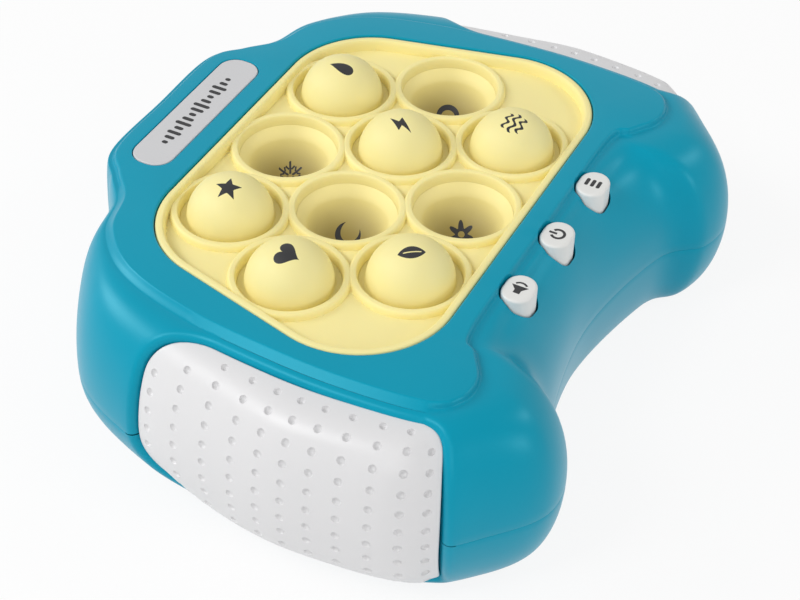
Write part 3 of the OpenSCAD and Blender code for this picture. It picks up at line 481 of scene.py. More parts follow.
def stepBand(s, w):  # the plate's edge at w 0 to the skin at w 1
    r = np.where(s <= half, s, total - s)
    grip = ease((r - bandEnds[0] + 0.05) / 0.1) * ease((bandEnds[1] + 0.12 - r) / 0.24)
    back = ease((r - 2.4) / 0.5) * (r < bandEnds[0] + 0.05)
    marks = np.linspace(0, 1, len(roundStep))
    at = lambda table, k: np.interp(w, marks, table[:, k])
    across, drop = (mix(mix(at(roundStep, k), at(backStep, k), back), at(gripStep, k), grip) for k in (0, 1))
    plate, out = runRound(0, s)
    return np.concatenate([plate + out * across[..., None], (plateTop - drop)[..., None]], -1)


buttons = dict(pitch=18.7, length=8.4, width=6.5, drop=0.7, step=3.4, height=7.5, gap=0.45, round=0.55, hollow=1.4)
stationLength, upperLength, lowerLength = 17.0, 34.0, 22.0  # scales of the shells' flat charts
stepShare = 0.09  # share of the upper chart that the step takes
rowPower = 1.4  # rows lie closer together near the step
seamGap = 0.003  # share of a level that the groove at the parting line takes
groove = [[0, 0], [0.04, 0.01], [0.08, 0.05], [0.1, 0.14], [0.1, 1.2]]  # profile of its edges
edgeRound = 1.8  # radius of the windows' edges


def upperPlace(chart):
    # Chart of station and row to the top shell's outside: the step, then the skin, hollowed before the buttons
    s, v = chart[:, 0] / stationLength, np.clip(chart[:, 1] / upperLength, 0, 1)
    level = (1 - seamGap) * np.clip((v - stepShare) / (1 - stepShare), 0, 1) ** rowPower
    aside = np.abs(s - half)  # the hollow is shallower at the middle button and ends past the outer ones
    land = (0.45 + 0.55 * ease(aside / 0.5)) * (1 - ease((aside - 0.8) / 0.6))
    land = land * ease(level / 0.16) * (1 - ease((level - 0.35) / 0.5))
    outside = skin(s, level) - skinNormal(s, level) * (buttons["hollow"] * land)[:, None]
    return np.where((v < stepShare)[:, None], stepBand(s, np.clip(v / stepShare, 0, 1)), outside)


def upperChart(s, level):  # station and level to the chart
    v = stepShare + (1 - stepShare) * np.clip(np.asarray(level) / (1 - seamGap), 0, 1) ** (1 / rowPower)
    return beside(np.asarray(s) * stationLength, v * upperLength)


def lowerPlace(chart):
    s, v = chart[:, 0] / stationLength, np.clip(chart[:, 1] / lowerLength, 0, 1)
    return skin(s, 1 + seamGap + (1 - seamGap) * v)


def lowerChart(s, level):
    v = np.clip((np.asarray(level) - 1 - seamGap) / (1 - seamGap), 0, 1)
    return beside(np.asarray(s) * stationLength, v * lowerLength)


def outwardFrom(points):  # away from a point inside the case
    return points - np.array([0, 0, 20.0])


def padOutline(grow, steps=26):  # four corner arcs joined by straight sides, clockwise from the back
    r = case["padCornerR"] + grow
    sideAngle = math.atan2(padFrontX - padBackX, 2 * padCornerY)
    right = join(arc((padBackX, padCornerY), r, np.linspace(np.pi / 2, sideAngle, steps)),
                 arc((padFrontX, -padCornerY), r, np.linspace(sideAngle, -np.pi / 2, steps)))
    return join(right, right[::-1] * [-1, 1]) + [0, shiftY]


def roundRect(w, d, r, centre, steps=9):  # rectangle with round corners, anticlockwise
    corners = []
    for k, side in enumerate(((1, 1), (-1, 1), (-1, -1), (1, -1))):
        a = np.linspace(0, np.pi / 2, steps) + k * np.pi / 2
        corners.append(arc(np.array(side) * [w / 2 - r, d / 2 - r], r, a))
    return join(*corners) + centre


def evenLoop(loop, gap):  # the same loop with points about gap apart
    closed = join(loop, loop[:1])
    far = lengthTable(closed)
    at = np.linspace(0, far[-1], max(12, int(far[-1] / gap)), endpoint=False)
    return np.stack([np.interp(at, far, closed[:, k]) for k in range(closed.shape[1])], 1)


# Top shell

label = dict(w=42.0, d=9.3, r=4.0, step=5.9, gap=0.2, t=0.9)
buttonY = frontY - buttons["step"] + shiftY
buttonX = [-buttons["pitch"], 0.0, buttons["pitch"]]
labelAt = np.array([0.0, backY + label["step"] + shiftY])


def oval(centre, grow, n=72):  # two half circles joined by straight sides
    r = buttons["width"] / 2 + grow
    straight = (buttons["length"] - buttons["width"]) / 2
    return evenLoop(roundRect(2 * (straight + r), 2 * r, r - 1e-4, centre, 16), 2 * (np.pi * r + 2 * straight) / n)


def chartOf(xy, guess):  # Newton steps that find the chart point above each place in plan
    q, h, stride, rowLimits = guess.copy(), 0.02, 1.2, (0.05, 30.0)
    for _ in range(25):
        dx = (upperPlace(q + [h, 0])[:, :2] - upperPlace(q - [h, 0])[:, :2]) / (2 * h)
        dy = (upperPlace(q + [0, h])[:, :2] - upperPlace(q - [0, h])[:, :2]) / (2 * h)
        det = dx[:, 0] * dy[:, 1] - dx[:, 1] * dy[:, 0]
        det = np.where(np.abs(det) < 1e-6, 1e-6, det)
        e = xy - upperPlace(q)[:, :2]
        move = beside(e[:, 0] * dy[:, 1] - e[:, 1] * dy[:, 0], dx[:, 0] * e[:, 1] - dx[:, 1] * e[:, 0])
        q = q + np.clip(move / det[:, None], -stride, stride)
        q[:, 1] = np.clip(q[:, 1], *rowLimits)
    return q


def aroundWindows(chart, seamRow, lower):  # a shell's border at the parting line, last station first
    path = windowPath(lower, edgeRound)
    sides = (chart(total - path[:, 0], path[:, 1]), chart(*path.T))
    left, right = (q[::-1] if q[0, 0] < q[-1, 0] else q for q in sides)
    s0, s1, clear = path[0, 0], path[-1, 0], 0.02

    def line(zone):
        return beside(columns[zone][::-1] * stationLength, np.full(zone.sum(), seamRow))

    between = (columns > s1 + clear) & (columns < total - s1 - clear)
    start, end = columns > total - s0 + clear, columns < s0 - clear
    return join(line(start), left, line(between), right, line(end))


def skinShell(lower):
    # Outside of one shell, from the step or the base to the parting line, with the grips' windows cut out
    place, chart = (lowerPlace, lowerChart) if lower else (upperPlace, upperChart)
    far, seamRow = (lowerLength, 0.0) if lower else (0.0, upperLength)
    stepRow = upperLength * stepShare
    rows = join(np.linspace(0, stepRow, 11)[1:], np.linspace(stepRow, upperLength, 25)[1:-1])
    if lower:
        rows = np.linspace(0, lowerLength, 18)[1:-1]
    allColumns = np.append(columns, total)
    top = beside(allColumns * stationLength, np.full(len(allColumns), far))
    ends = rows[::-1] if lower else rows
    lastS = total * stationLength
    lastEdge = join(beside(np.full(len(ends), lastS), ends), [[lastS, seamRow]])
    firstEdge = beside(np.zeros(len(ends)), ends[::-1])
    border = join(top, lastEdge, aroundWindows(chart, seamRow, lower), firstEdge)
    sGrid, vGrid = np.meshgrid(columns[1:], rows, indexing="ij")
    inner = beside(sGrid.ravel() * stationLength, vGrid.ravel())
    keep = np.ones(len(inner), bool)
    for mirror in (False, True):
        loop = windowPath(lower, edgeRound + 0.5)
        s = total - loop[:, 0] if mirror else loop[:, 0]
        q = chart(s, loop[:, 1])
        beyond = seamRow + (-5 if lower else 5)
        q = join(q, [[q[-1, 0], beyond], [q[0, 0], beyond]])
        keep &= ~inLoop(inner, q)
    holes = []
    if not lower:
        flat = upperPlace(inner)[:, :2]
        apart = np.abs(inner[:, 0] - half * stationLength) > 2 * stationLength
        for x in buttonX:
            xy = oval((x, buttonY), buttons["gap"])
            guess = beside((half - xy[:, 0] / 33.0) * stationLength, np.full(len(xy), 5.0))
            holes.append(chartOf(xy, guess))
            keep &= ~inLoop(flat, oval((x, buttonY), buttons["gap"] + 0.3)) | apart
    points, faces = cutSheet(border, holes, inner[keep], place, outwardFrom)
    parts = [(points, faces, 0)]
    for mirror in (False, True):  # window walls
        path = windowPath(lower, edgeRound)
        s = total - path[:, 0] if mirror else path[:, 0]
        p = place(chart(s, path[:, 1]))
        n = skinNormal(s, np.clip(path[:, 1], 0.004, 2))
        across = sideways(p, n, skin(total - gripMiddle if mirror else gripMiddle, 0.9) - p)
        floor = [[edgeRound, window["deep"]], [edgeRound + window["ledge"], window["deep"]]]
        profile = join(quarter(edgeRound, steps=7), floor)
        parts.append((*carry(p, across, -n, profile, False), 0))
    s0, s1 = windowPath(lower, edgeRound)[[0, -1], 0]
    front = columns[(columns >= s1) & (columns <= total - s1)]
    back = join(columns[columns >= total - s0] - total, columns[columns <= s0])
    for zone in (front, back):  # rounded edges of the groove at the parting line
        level = np.full(len(zone), 1 + seamGap if lower else 1 - seamGap)
        p, n = skin(zone, level), skinNormal(zone, level)
        across = sideways(p, n, [0, 0, 1 if lower else -1])
        parts.append((*carry(p, across, -n, groove, False), 0))
    return parts, holes


parts, buttonHoles = skinShell(False)
plateEdge = stepBand(columns, np.zeros(len(columns)))[:, :2]
openingGap, recessGap = 0.2 + 0.45, label["gap"] + 0.25  # clearance and the width of the rounded lip
opening = evenLoop(padOutline(openingGap), 1.0)
recess = roundRect(label["w"] + 2 * recessGap, label["d"] + 2 * recessGap, label["r"] + recessGap, labelAt)
recess = evenLoop(recess, 0.6)
parts.append(flatSheet(plateEdge, [opening, recess], plateTop, facingUp))
parts.append(wall(opening, plateTop, -1, facingDown, lip(0.35, 0.1, [0.45, 3.0])))
parts.append(wall(recess, plateTop, 1, facingDown, lip(0.18, 0.07, [0.25, 1.1], [1.5, 1.1])))
for q in buttonHoles:
    p = upperPlace(q)
    side = unit((p.mean(0) - p) * [1, 1, 0])
    parts.append((*carry(p, side, facingDown(p), [[0, 0], [0.02, 0.12], [0.02, 6.0]]), 0))
topShell = makePiece("topShell", parts, [blueAbs], "case", 30)
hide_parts("top_shell")
print("top shell", len(topShell.data.polygons))

# Bottom shell: lower skin, flat base, battery bay, screw wells and speaker grille

bay = dict(halfL=25.25, halfW=17.35, y=-3.0, roof=13.8, doorHalfL=26.75, doorHalfW=18.85, tabW=8.0, tabL=5.0,
           doorTop=2.4, doorGap=0.55, screwR=1.4, screwDeep=5.8)
wells = dict(r=2.85, depth=9.0, deepest=12.0)
grille = dict(r=0.95, pitch=3.2, depth=2.2, step=17.1)
bayAt = np.array([0.0, bay["y"] + shiftY])
screwX = bay["doorHalfL"] + bay["tabL"] - bay["tabW"] / 2


def doorOutline(grow, steps=14):  # rectangle with a round-ended tab on its right side, anticlockwise
    l, w, r = bay["doorHalfL"] + grow, bay["doorHalfW"] + grow, bay["tabW"] / 2 + grow
    a = np.linspace(-np.pi / 2, np.pi / 2, steps)
    tab = beside(screwX + r * np.cos(a), r * np.sin(a))
    return join([[l, -r]], tab, [[l, r], [l, w], [-l, w], [-l, -w], [l, -w]]) + bayAt


wellPlaces = [(side * (halfW - 7.7), cornerY + 5.5 + shiftY) for side in (-1, 1)]
wellPlaces += [(side * (bumpHalf + 6.0), backY + 4.5 + shiftY) for side in (-1, 1)]
speakerY = bay["y"] + bay["halfW"] + grille["step"] + shiftY
rowStep = rowPitch / case["pitch"] * grille["pitch"]
grillePlaces = [((k + row / 2) * grille["pitch"], speakerY + row * rowStep)
                for row in range(-2, 3) for k in range(-2, 3) if abs(row + k) <= 2]
parts, _ = skinShell(True)
baseEdge = skin(columns, np.full(len(columns), 2.0))[:, :2]
doorHole = evenLoop(doorOutline(bay["doorGap"]), 0.8)
wellHoles = [circle(p, wells["r"]) for p in wellPlaces]
grilleHoles = [circle(p, grille["r"], 20) for p in grillePlaces]
parts.append(flatSheet(baseEdge, [doorHole] + wellHoles + grilleHoles, 0.0, facingDown))
parts.append(wall(doorHole, 0.0, 1, facingUp, lip(0.2, 0.05, [0.25, bay["doorTop"]])))
inner = doorHole + loopFrames(flatLoop(doorHole, 0.0), 1)[:, :2] * 0.25
bayRect = evenLoop(roundRect(2 * bay["halfL"], 2 * bay["halfW"], 0.5, bayAt), 1.2)
screwHole = circle((screwX, bayAt[1]), bay["screwR"], 24)
parts.append(flatSheet(inner, [bayRect, screwHole], bay["doorTop"], facingDown))
parts.append(wall(bayRect, bay["doorTop"], 1, facingUp, [[0, 0], [0, bay["roof"] - bay["doorTop"]]]))
parts.append(flatSheet(bayRect, [], bay["roof"], facingDown))
parts.append(wall(screwHole, bay["doorTop"], 1, facingUp, [[0, 0], [0, bay["screwDeep"]]]))
wellProfile = lip(0.2, 0.05, [0.25, wells["depth"]], [1.35, wells["depth"]], [1.35, wells["deepest"]])
grilleProfile = join(quarter(0.15), [[0.15, grille["depth"]]])
parts += [wall(hole, 0.0, 1, facingUp, wellProfile) for hole in wellHoles]
parts += [wall(hole, 0.0, 1, facingUp, grilleProfile) for hole in grilleHoles]
bottomShell = makePiece("bottomShell", parts, [blueAbs], "case", 30)
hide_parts("bottom_shell")
print("bottom shell", len(bottomShell.data.polygons))

# Grip panels: the skin set in a little, with rounded edges and rows of dimples

grip = dict(inset=1.2, swell=0.7, upperSwell=0.75, underSwell=1.0, gap=0.45, edge=0.5, thick=1.9, dimpleR=0.82,
            dimpleDeep=0.75, columns=(6.02, 9.2, 11), rowStart=2.9, rowGap=4.4, clear=1.9, fill=1.2, lip=0.85,
            reach=11.0, underReach=4.0, swellFrom=6.3, swellRun=1.3)


def makeGrip(name, node, mirror):
    border = windowLoop(-grip["gap"] - grip["edge"])
    lowC, highC = border.min(0), border.max(0)
    across = np.interp(np.linspace(*grip["columns"]), tableS, alongTable)
    rows = np.arange(lowC[1] + grip["rowStart"], highC[1], grip["rowGap"])
    spots = np.stack(np.meshgrid(across, rows), -1).reshape(-1, 2)
    spots = spots[inLoop(spots, border) & (nearest(spots, border) > grip["clear"])]
    rings = [spots] + [(spots[:, None] + circle((0, 0), grip["dimpleR"] * q, n)[None]).reshape(-1, 2)
                       for q, n in ((0.35, 8), (0.65, 14), (0.85, 18), (0.97, 20), (1.08, 20), (1.3, 16))]
    fill = gridFill(lowC[0], highC[0], lowC[1], highC[1], grip["fill"])
    inner = np.concatenate(rings + [fill[nearest(fill, spots) > grip["dimpleR"] * 1.5]])
    inner = inner[inLoop(inner, border)]
    inner = inner[nearest(inner, border) > 0.45]

    def place(chart):  # skin sunk at the border, swelling to the middle, with a rounded hollow at each dimple
        along, level = gripStation(chart)
        s = total - along if mirror else along
        d = nearest(chart, spots) / grip["dimpleR"]
        bowl = np.sqrt(np.clip(1 - d ** 2, 0, 1))
        soft = np.sqrt(1 - grip["lip"] ** 2) * (1 - ease((d - grip["lip"]) / 0.25))
        hollow = grip["dimpleDeep"] * np.where(d < grip["lip"], bowl, soft)
        inside = nearest(chart, border)
        middle = ease(inside / grip["reach"]) * ease((along - grip["swellFrom"]) / grip["swellRun"])
        sunk = grip["inset"] - middle * (grip["swell"] + grip["upperSwell"] * (1 - ease((level - 0.35) / 0.5)))
        sunk = sunk - grip["underSwell"] * ease((level - 1.15) / 0.3) * ease(inside / grip["underReach"])
        return skin(s, level) - skinNormal(s, level) * (sunk + hollow)[:, None]

    points, faces = cutSheet(border, [], inner, place, outwardFrom)
    p = place(border)
    s, level = gripStation(border)
    n = skinNormal(total - s if mirror else s, level)
    outwards = sideways(p, n, p - p.mean(0), True)
    edge = lip(grip["edge"] - 0.1, 0.1, [grip["edge"], grip["thick"]])
    parts = [(points, faces, 0), (*carry(p, outwards, -n, edge), 0)]
    piece = makePiece(name, parts, [whiteAbs], "case", 35)
    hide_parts(node)
    print(name, len(spots), "dimples", len(piece.data.polygons))


makeGrip("rightGrip", "right_grip_panel", False)
makeGrip("leftGrip", "left_grip_panel", True)

# Bubble pad: one height field of rim, rings and floor

boxes = [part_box(f"bubble_{k}") for k in range(1, 11)]
centres = np.array([np.array((low + high) * 500)[:2] for low, high in boxes])
pad = dict(rimTop=41.9, rimW=1.8, ringTop=40.8, base=38.4, floor=39.4, hole=10.5, band=11.2, fillGap=2.2,
           fillClear=13.2, fillInside=3.0, edgeDeep=4.0, holeDeep=1.8)


def padDistance(xy):  # distance inside the pad's outline, from its corner circles and straight sides
    q = beside(np.abs(xy[:, 0]), xy[:, 1] - shiftY)
    angle = np.arctan2(padFrontX - padBackX, 2 * padCornerY)
    back, front = np.array([padBackX, padCornerY]), np.array([padFrontX, -padCornerY])
    side = (q - back) @ np.array([np.cos(angle), np.sin(angle)])
    share = ((q - back) @ (front - back)) / ((front - back) @ (front - back))
    d = np.maximum(side, np.abs(q[:, 1]) - padCornerY)
    d = np.where((share < 0) & (q[:, 0] > back[0]), np.linalg.norm(q - back, axis=1), d)
    d = np.where((share > 1) & (q[:, 0] > front[0]), np.linalg.norm(q - front, axis=1), d)
    return case["padCornerR"] - d


def shoulderOf(x, rounding):  # rounded rise from 0 at x 0 to 1 at x rounding
    e = np.clip(x / rounding, 0, 1)
    return np.sqrt(np.clip(1 - (1 - e) ** 2, 0, 1))


def padHeight(xy):  # floor with a rounded ring round each bubble and a rounded rim, the higher one showing
    d = nearest(xy, centres)
    ring = pad["floor"] + (pad["ringTop"] - pad["floor"]) * shoulderOf(ringOuter + 0.25 - d, 0.75)
    mouth = pad["base"] + (pad["ringTop"] - pad["base"]) * shoulderOf(d - case["ringR"] + 0.15, 0.55)
    ring = np.where(d < case["ringR"] + 0.5, mouth, ring)
    inside = padDistance(xy)
    rim = pad["floor"] + (pad["rimTop"] - pad["floor"]) * shoulderOf(pad["rimW"] + 0.3 - inside, 0.8)
    rim = np.where(inside < 0.7, pad["rimTop"] - 0.7 * (1 - shoulderOf(inside, 0.7)), rim)
    return np.where(d < case["ringR"] + 0.2, ring, np.maximum(ring, rim))


def onPad(xy):
    return np.concatenate([xy, padHeight(xy)[:, None]], 1)


def padWall(loop, deep):  # straight down from a loop on the pad
    path = onPad(loop)
    return (*carry(path, np.zeros_like(path), facingDown(path), [[0, 0], [0, deep]]), 0)


outline = evenLoop(padOutline(0.0), 0.45)
inwards = loopFrames(flatLoop(outline, 0.0), -1)[:, :2]
ringPoints = 120
ringRadii = [10.53, 10.57, 10.63, 10.7, 10.8, 10.9, 11.0, 11.3, 11.55, 11.7, 11.85, 12.0, 12.12, 12.22, 12.32, 12.4,
             12.45, 12.8]
rimSteps = [0.06, 0.15, 0.3, 0.5, 0.7, 1.0, 1.3, 1.45, 1.6, 1.75, 1.87, 1.97, 2.05, 2.1, 2.5]
spots = join(*[(circle((0, 0), r, ringPoints)[None] + centres[:, None]).reshape(-1, 2) for r in ringRadii])
spots = spots[nearest(spots, centres) > np.repeat(ringRadii, ringPoints * len(centres)) - 0.01]
spots = spots[padDistance(spots) > np.where(nearest(spots, centres) < pad["band"], 0.1, 2.3)]
rimRows = join(*[outline + inwards * k for k in rimSteps])
rimRows = rimRows[nearest(rimRows, centres) > pad["band"]]
fill = gridFill(-60, 60, -45, 45, pad["fillGap"]) + [0, shiftY]
fill = fill[(nearest(fill, centres) > pad["fillClear"]) & (padDistance(fill) > pad["fillInside"])]
inner = join(spots, rimRows, fill)
inner = inner[np.sort(np.unique(np.round(inner / 0.05).astype(int), axis=0, return_index=True)[1])]
holes = [circle(c, pad["hole"], ringPoints) for c in centres]
parts = [(*cutSheet(outline, holes, inner, onPad, facingUp), 0), padWall(outline, pad["edgeDeep"])]
parts += [padWall(hole, pad["holeDeep"]) for hole in holes]
padPiece = makePiece("bubblePad", parts, [creamSilicone], "case", 50)
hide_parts("bubble_pad")
print("pad", len(padPiece.data.polygons))

# Bubbles: a dome of revolution on a short skirt, or the same turned through; a printed sign on both faces

dome = dict(r=9.04, skirt=0.5, wall=0.6, mouth=10.45, footRound=0.45, cup=8.7, flare=1.75, flareDepth=2.6, web=0.5,
            skirtIn=0.4, widen=1.05, reach=10.2, crown=6.5, columns=96)
turned = {2, 5, 7, 9}


def polar(angles, radii):
    return beside(np.asarray(radii) * np.sin(angles), np.asarray(radii) * np.cos(angles))


def starSign():
    a = around(10)
    return [evenLoop(polar(a, np.where(np.arange(10) % 2 == 0, 4.6, 2.0)), 0.45)], []


def heartSign():
    t = around(90)
    y = 13 * np.cos(t) - 5 * np.cos(2 * t) - 2 * np.cos(3 * t) - np.cos(4 * t)
    return [beside(4.2 * np.sin(t) ** 3, 0.27 * y + 0.6)], []


def moonSign():
    b = np.linspace(2 * np.pi - 0.95, 0.95, 44)
    outer = arc((0, 0), 4.4, np.linspace(0.62, 2 * np.pi - 0.62, 60))
    return [join(outer, beside(1.55 + 3.55 * np.cos(b), 3.15 * np.sin(b)))], []


def dropSign():
    t = around(80)
    return [beside(3.1 * np.sin(t) * np.sin(t / 2) ** 1.4, 4.6 * np.cos(t) + 0.2)], []


def leafSign():
    t = np.linspace(-1, 1, 40)
    w = 2.3 * (1 - t ** 2) ** 0.9
    blade = join(beside(w, 4.5 * t), beside(-w[::-1], 4.5 * t[::-1])[1:-1])
    vein = beside(np.where(np.arange(4) < 2, 0.2, -0.2), np.array([-3.2, 2.9, 2.9, -3.2]))
    turn = np.array([[0.82, 0.57], [-0.57, 0.82]])
    return [blade @ turn], [evenLoop(vein, 0.6) @ turn]


def flowerSign():
    a = around(140)
    return [polar(a, 3.3 + 1.15 * np.cos(6 * a))], [circle((0, 0), 1.15, 26)]


def boltSign():
    q = np.array([[0.9, 4.7], [-2.8, -0.6], [-0.5, -0.6], [-1.3, -4.7], [2.8, 1.0], [0.5, 1.0]])
    return [evenLoop(q, 0.5)], []


def ringSign():
    return [circle((0, 0), 4.2, 70)], [circle((0, 0), 2.5, 50)]


def flakeSign():
    def rod(start, w, l, a):  # a bar from its start, turned by an angle
        turn = np.array([[np.cos(a), -np.sin(a)], [np.sin(a), np.cos(a)]])
        return np.array([[-w, 0], [w, 0], [w, l], [-w, l]]) @ turn + start

    shapes = []
    for k in range(6):
        a = k * np.pi / 3
        along, aside = np.array([np.sin(a), np.cos(a)]), np.array([np.cos(a), -np.sin(a)])
        shapes.append(rod(0.75 * along, 0.38, 3.9, a))
        shapes += [rod(2.3 * along, 0.3, 1.5, a + side * 0.9) + aside * side * 0.42 for side in (-1, 1)]
    return [evenLoop(q, 0.5) for q in shapes], []


def waveSign():
    t = np.linspace(-1, 1, 50)
    bars = []
    for y in (-2.6, 0.0, 2.6):
        w = 4.3 if y == 0 else 3.4
        up = beside(w * t, y + 0.75 * np.sin(2 * np.pi * t) + 0.55)
        bars.append(join(up, (up - [0, 1.1])[::-1]))
    return bars, []


# A sign's size, and its shift from the crown along a line in plan, for a pushed-in and a standing dome
signPlace = dict(size=0.62, line=(0.9, 0.44), pushedIn=3.2, standing=-2.0)
signs = [starSign, flakeSign, dropSign, heartSign, moonSign, boltSign, ringSign, leafSign, flowerSign, waveSign]


def crownParts(ring, sign, place, side):
    # A face's crown inside its last ring; the sign's outline is part of the mesh, so its ink moves with it
    outer, inside = sign
    lines = [*outer, *inside]
    fill = gridFill(-7, 7, -7, 7, 0.45)
    fill = fill[inLoop(fill, ring) & (nearest(fill, join(ring, *lines)) > 0.25)]
    points, tris = cutSheet(ring, [], fill, place, facingUp if side > 0 else facingDown, lines)
    middle = points[tris][:, :, :2].mean(1)
    within = lambda loops: np.any([np.zeros(len(tris), bool)] + [inLoop(middle, q) for q in loops], 0)
    ink = within(outer) & ~within(inside)
    return [(points, tris[~ink], 0), (points, tris[ink], 1)]


def domeProfile():  # radius and height: groove floor, round foot, half circle; then the same inside
    a, foot = np.linspace(0, np.pi / 2, 34), np.linspace(0, np.pi / 2, 6)
    r, r2, f = dome["r"], dome["r"] - dome["wall"], dome["footRound"]
    outer = join([[dome["mouth"], 0.0], [dome["mouth"] - 0.4, 0.0]],
                 beside(r + f - f * np.sin(foot), f * (1 - np.cos(foot))),
                 beside(r * np.cos(a), dome["skirt"] + r * np.sin(a)))
    under = beside(r2 * np.cos(a[::-1]), dome["skirt"] + r2 * np.sin(a[::-1]))
    return outer, join(under, [[r2, -0.2], [r2 + 0.3, -dome["web"]], [dome["mouth"], -dome["web"]]])


def cupProfile():  # radius and depth: half circle that flares out to the ring; then the same, lower and wider
    skirt = dome["skirtIn"]
    curve = skirt + dome["cup"] * np.sin(np.linspace(0, np.pi / 2, 44))
    depth = join(np.linspace(0, skirt, 6)[:-1], curve)
    r = dome["cup"] * np.sqrt(np.clip(1 - (np.clip(depth - skirt, 0, None) / dome["cup"]) ** 2, 0, 1))
    r = r + dome["flare"] * np.clip(1 - depth / dome["flareDepth"], 0, 1) ** 1.7
    under = beside(r * (1 + (dome["widen"] - 1) * ease(depth / 3)), -depth - dome["web"])
    return beside(r, -depth), under[::-1]


def makeBubble(k):
    cx, cy = centres[k - 1]
    pushedIn = k in turned
    upper, under = (q[q[:, 0] >= dome["crown"]] for q in (cupProfile() if pushedIn else domeProfile()))
    profile = join(under, upper)
    n = dome["columns"]
    turn = around(n)
    r, z = profile[:, 0, None], np.repeat(profile[:, 1, None], n, 1)
    rows = beside(r * np.cos(turn), r * np.sin(turn), z)
    faces = gridFaces(len(profile), n, True)
    parts = [(rows.reshape(-1, 3), faces[:, ::-1] if pushedIn else faces, 0)]

    def face(xy, side):  # height of the upper or lower face of the half sphere over a place
        far = (xy ** 2).sum(1)
        if pushedIn:
            lower, wide = (0, 1) if side > 0 else (dome["web"], dome["widen"] ** 2)
            z = -dome["skirtIn"] - lower - np.sqrt(dome["cup"] ** 2 - far / wide)
        else:
            z = dome["skirt"] + np.sqrt((dome["r"] if side > 0 else dome["r"] - dome["wall"]) ** 2 - far)
        return np.concatenate([xy, z[:, None]], 1)

    aside = np.array(signPlace["line"]) * signPlace["pushedIn" if pushedIn else "standing"]
    shape = [[q * signPlace["size"] + aside for q in group] for group in signs[k - 1]()]
    for side, row in ((1.0, rows[-1]), (-1.0, rows[0])):
        parts += crownParts(row[:, :2], shape, lambda xy: face(xy, side), side)
    parts = [(q + [cx, cy, pad["base"]], f, mark) for q, f, mark in parts]
    piece = makePiece(f"bubble{k}", parts, [paintedShadeSilicone if pushedIn else creamSilicone, blackInk], None, 50)
    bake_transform(piece)
    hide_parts(f"bubble_{k}")


for k in range(1, 11):
    makeBubble(k)
print("bubbles made")

# Label plate with a row of printed bars

bars = dict(pitch=1.85, width=1.0, round=0.49,
            heights=(1.4, 2.4, 3.4, 2.2, 3.9, 2.8, 1.7, 3.2, 4.0, 2.5, 1.6, 2.9, 3.6, 2.0, 1.3))
printLift = 0.02  # ink over the plastic
path = flatLoop(evenLoop(roundRect(label["w"], label["d"], label["r"], labelAt), 0.6), plateTop - label["t"])
out = loopFrames(path, -1)
edgeProfile = np.array([[0, 0], [0, 0.7], [-0.05, 0.8], [-0.13, 0.87], [-0.22, 0.9], [-0.4, 0.9]])
rows = join(*[path + out * q[0] + [0, 0, q[1]] for q in edgeProfile])
parts = [(rows, gridFaces(len(edgeProfile), len(path), True), 0),
         flatSheet(rows[-len(path):, :2], [], plateTop, facingUp)]
for i, high in enumerate(bars["heights"]):
    bar = roundRect(bars["width"], high, bars["round"], labelAt + [(i - 7) * bars["pitch"], 0])
    parts.append(flatSheet(evenLoop(bar, 0.3), [], plateTop + printLift, facingUp, 1))
labelPiece = makePiece("labelPlate", parts, [greyAbs, blackInk], "case", 30)
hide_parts("label_plate")

# Push buttons: oval caps with a rounded top edge and a printed sign

capTop = plateTop - buttons["drop"]


def stroke(points, width):  # the outline of a line of this width
    q = np.asarray(points, float)
    t = unit(np.gradient(q, axis=0))
    side = beside(-t[:, 1], t[:, 0]) * width / 2
    return join(q + side, (q - side)[::-1])


def speakerIcon():
    cone = np.array([[-1.7, -0.7], [-0.7, -0.7], [0.6, -1.8], [0.6, 1.8], [-0.7, 0.7], [-1.7, 0.7]])
    return [cone, stroke(arc((0.1, 0), 1.5, np.linspace(-0.9, 0.9, 14)), 0.45)]


def powerIcon():
    a = np.linspace(np.pi / 2 + 0.6, np.pi / 2 + 2 * np.pi - 0.6, 40)
    return [stroke(arc((0, -0.1), 1.35, a), 0.6), stroke([[0, 0.1], [0, 1.0], [0, 1.8]], 0.6)]


def barsIcon():
    return [roundRect(2.4, 0.8, 0.35, (0, y)) for y in (-1.3, 0, 1.3)]


def makeCap(name, node, bodyName, x, icon):
    loop = oval((x, buttonY), -0.001, 84)
    r, h = buttons["round"], buttons["height"]
    path = flatLoop(loop, capTop - h)
    out = loopFrames(path, -1)
    turn = np.linspace(0, np.pi / 2, 8)
    rows = [path] + [path - out * r * (1 - np.cos(a)) + [0, 0, h - r + r * np.sin(a)] for a in turn]
    rows = np.concatenate(rows + [path - out * (r + 0.25) + [0, 0, h]])
    parts = [(rows, gridFaces(len(turn) + 2, len(path), True), 0),
             flatSheet(rows[-len(path):, :2], [], capTop, facingUp)]
    parts += [flatSheet(q + [x, buttonY], [], capTop + printLift, facingUp, 1) for q in icon()]
    piece = makePiece(name, parts, [capAbs, blackInk], bodyName, 40)
    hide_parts(node)


makeCap("soundCap", "sound_button", "sound_key", buttonX[0], speakerIcon)
makeCap("powerCap", "power_button", "power_key", buttonX[1], powerIcon)
makeCap("modeCap", "mode_button", "mode_key", buttonX[2], barsIcon)
print("label and caps made")

# Finishes of the nodes that stay as they are

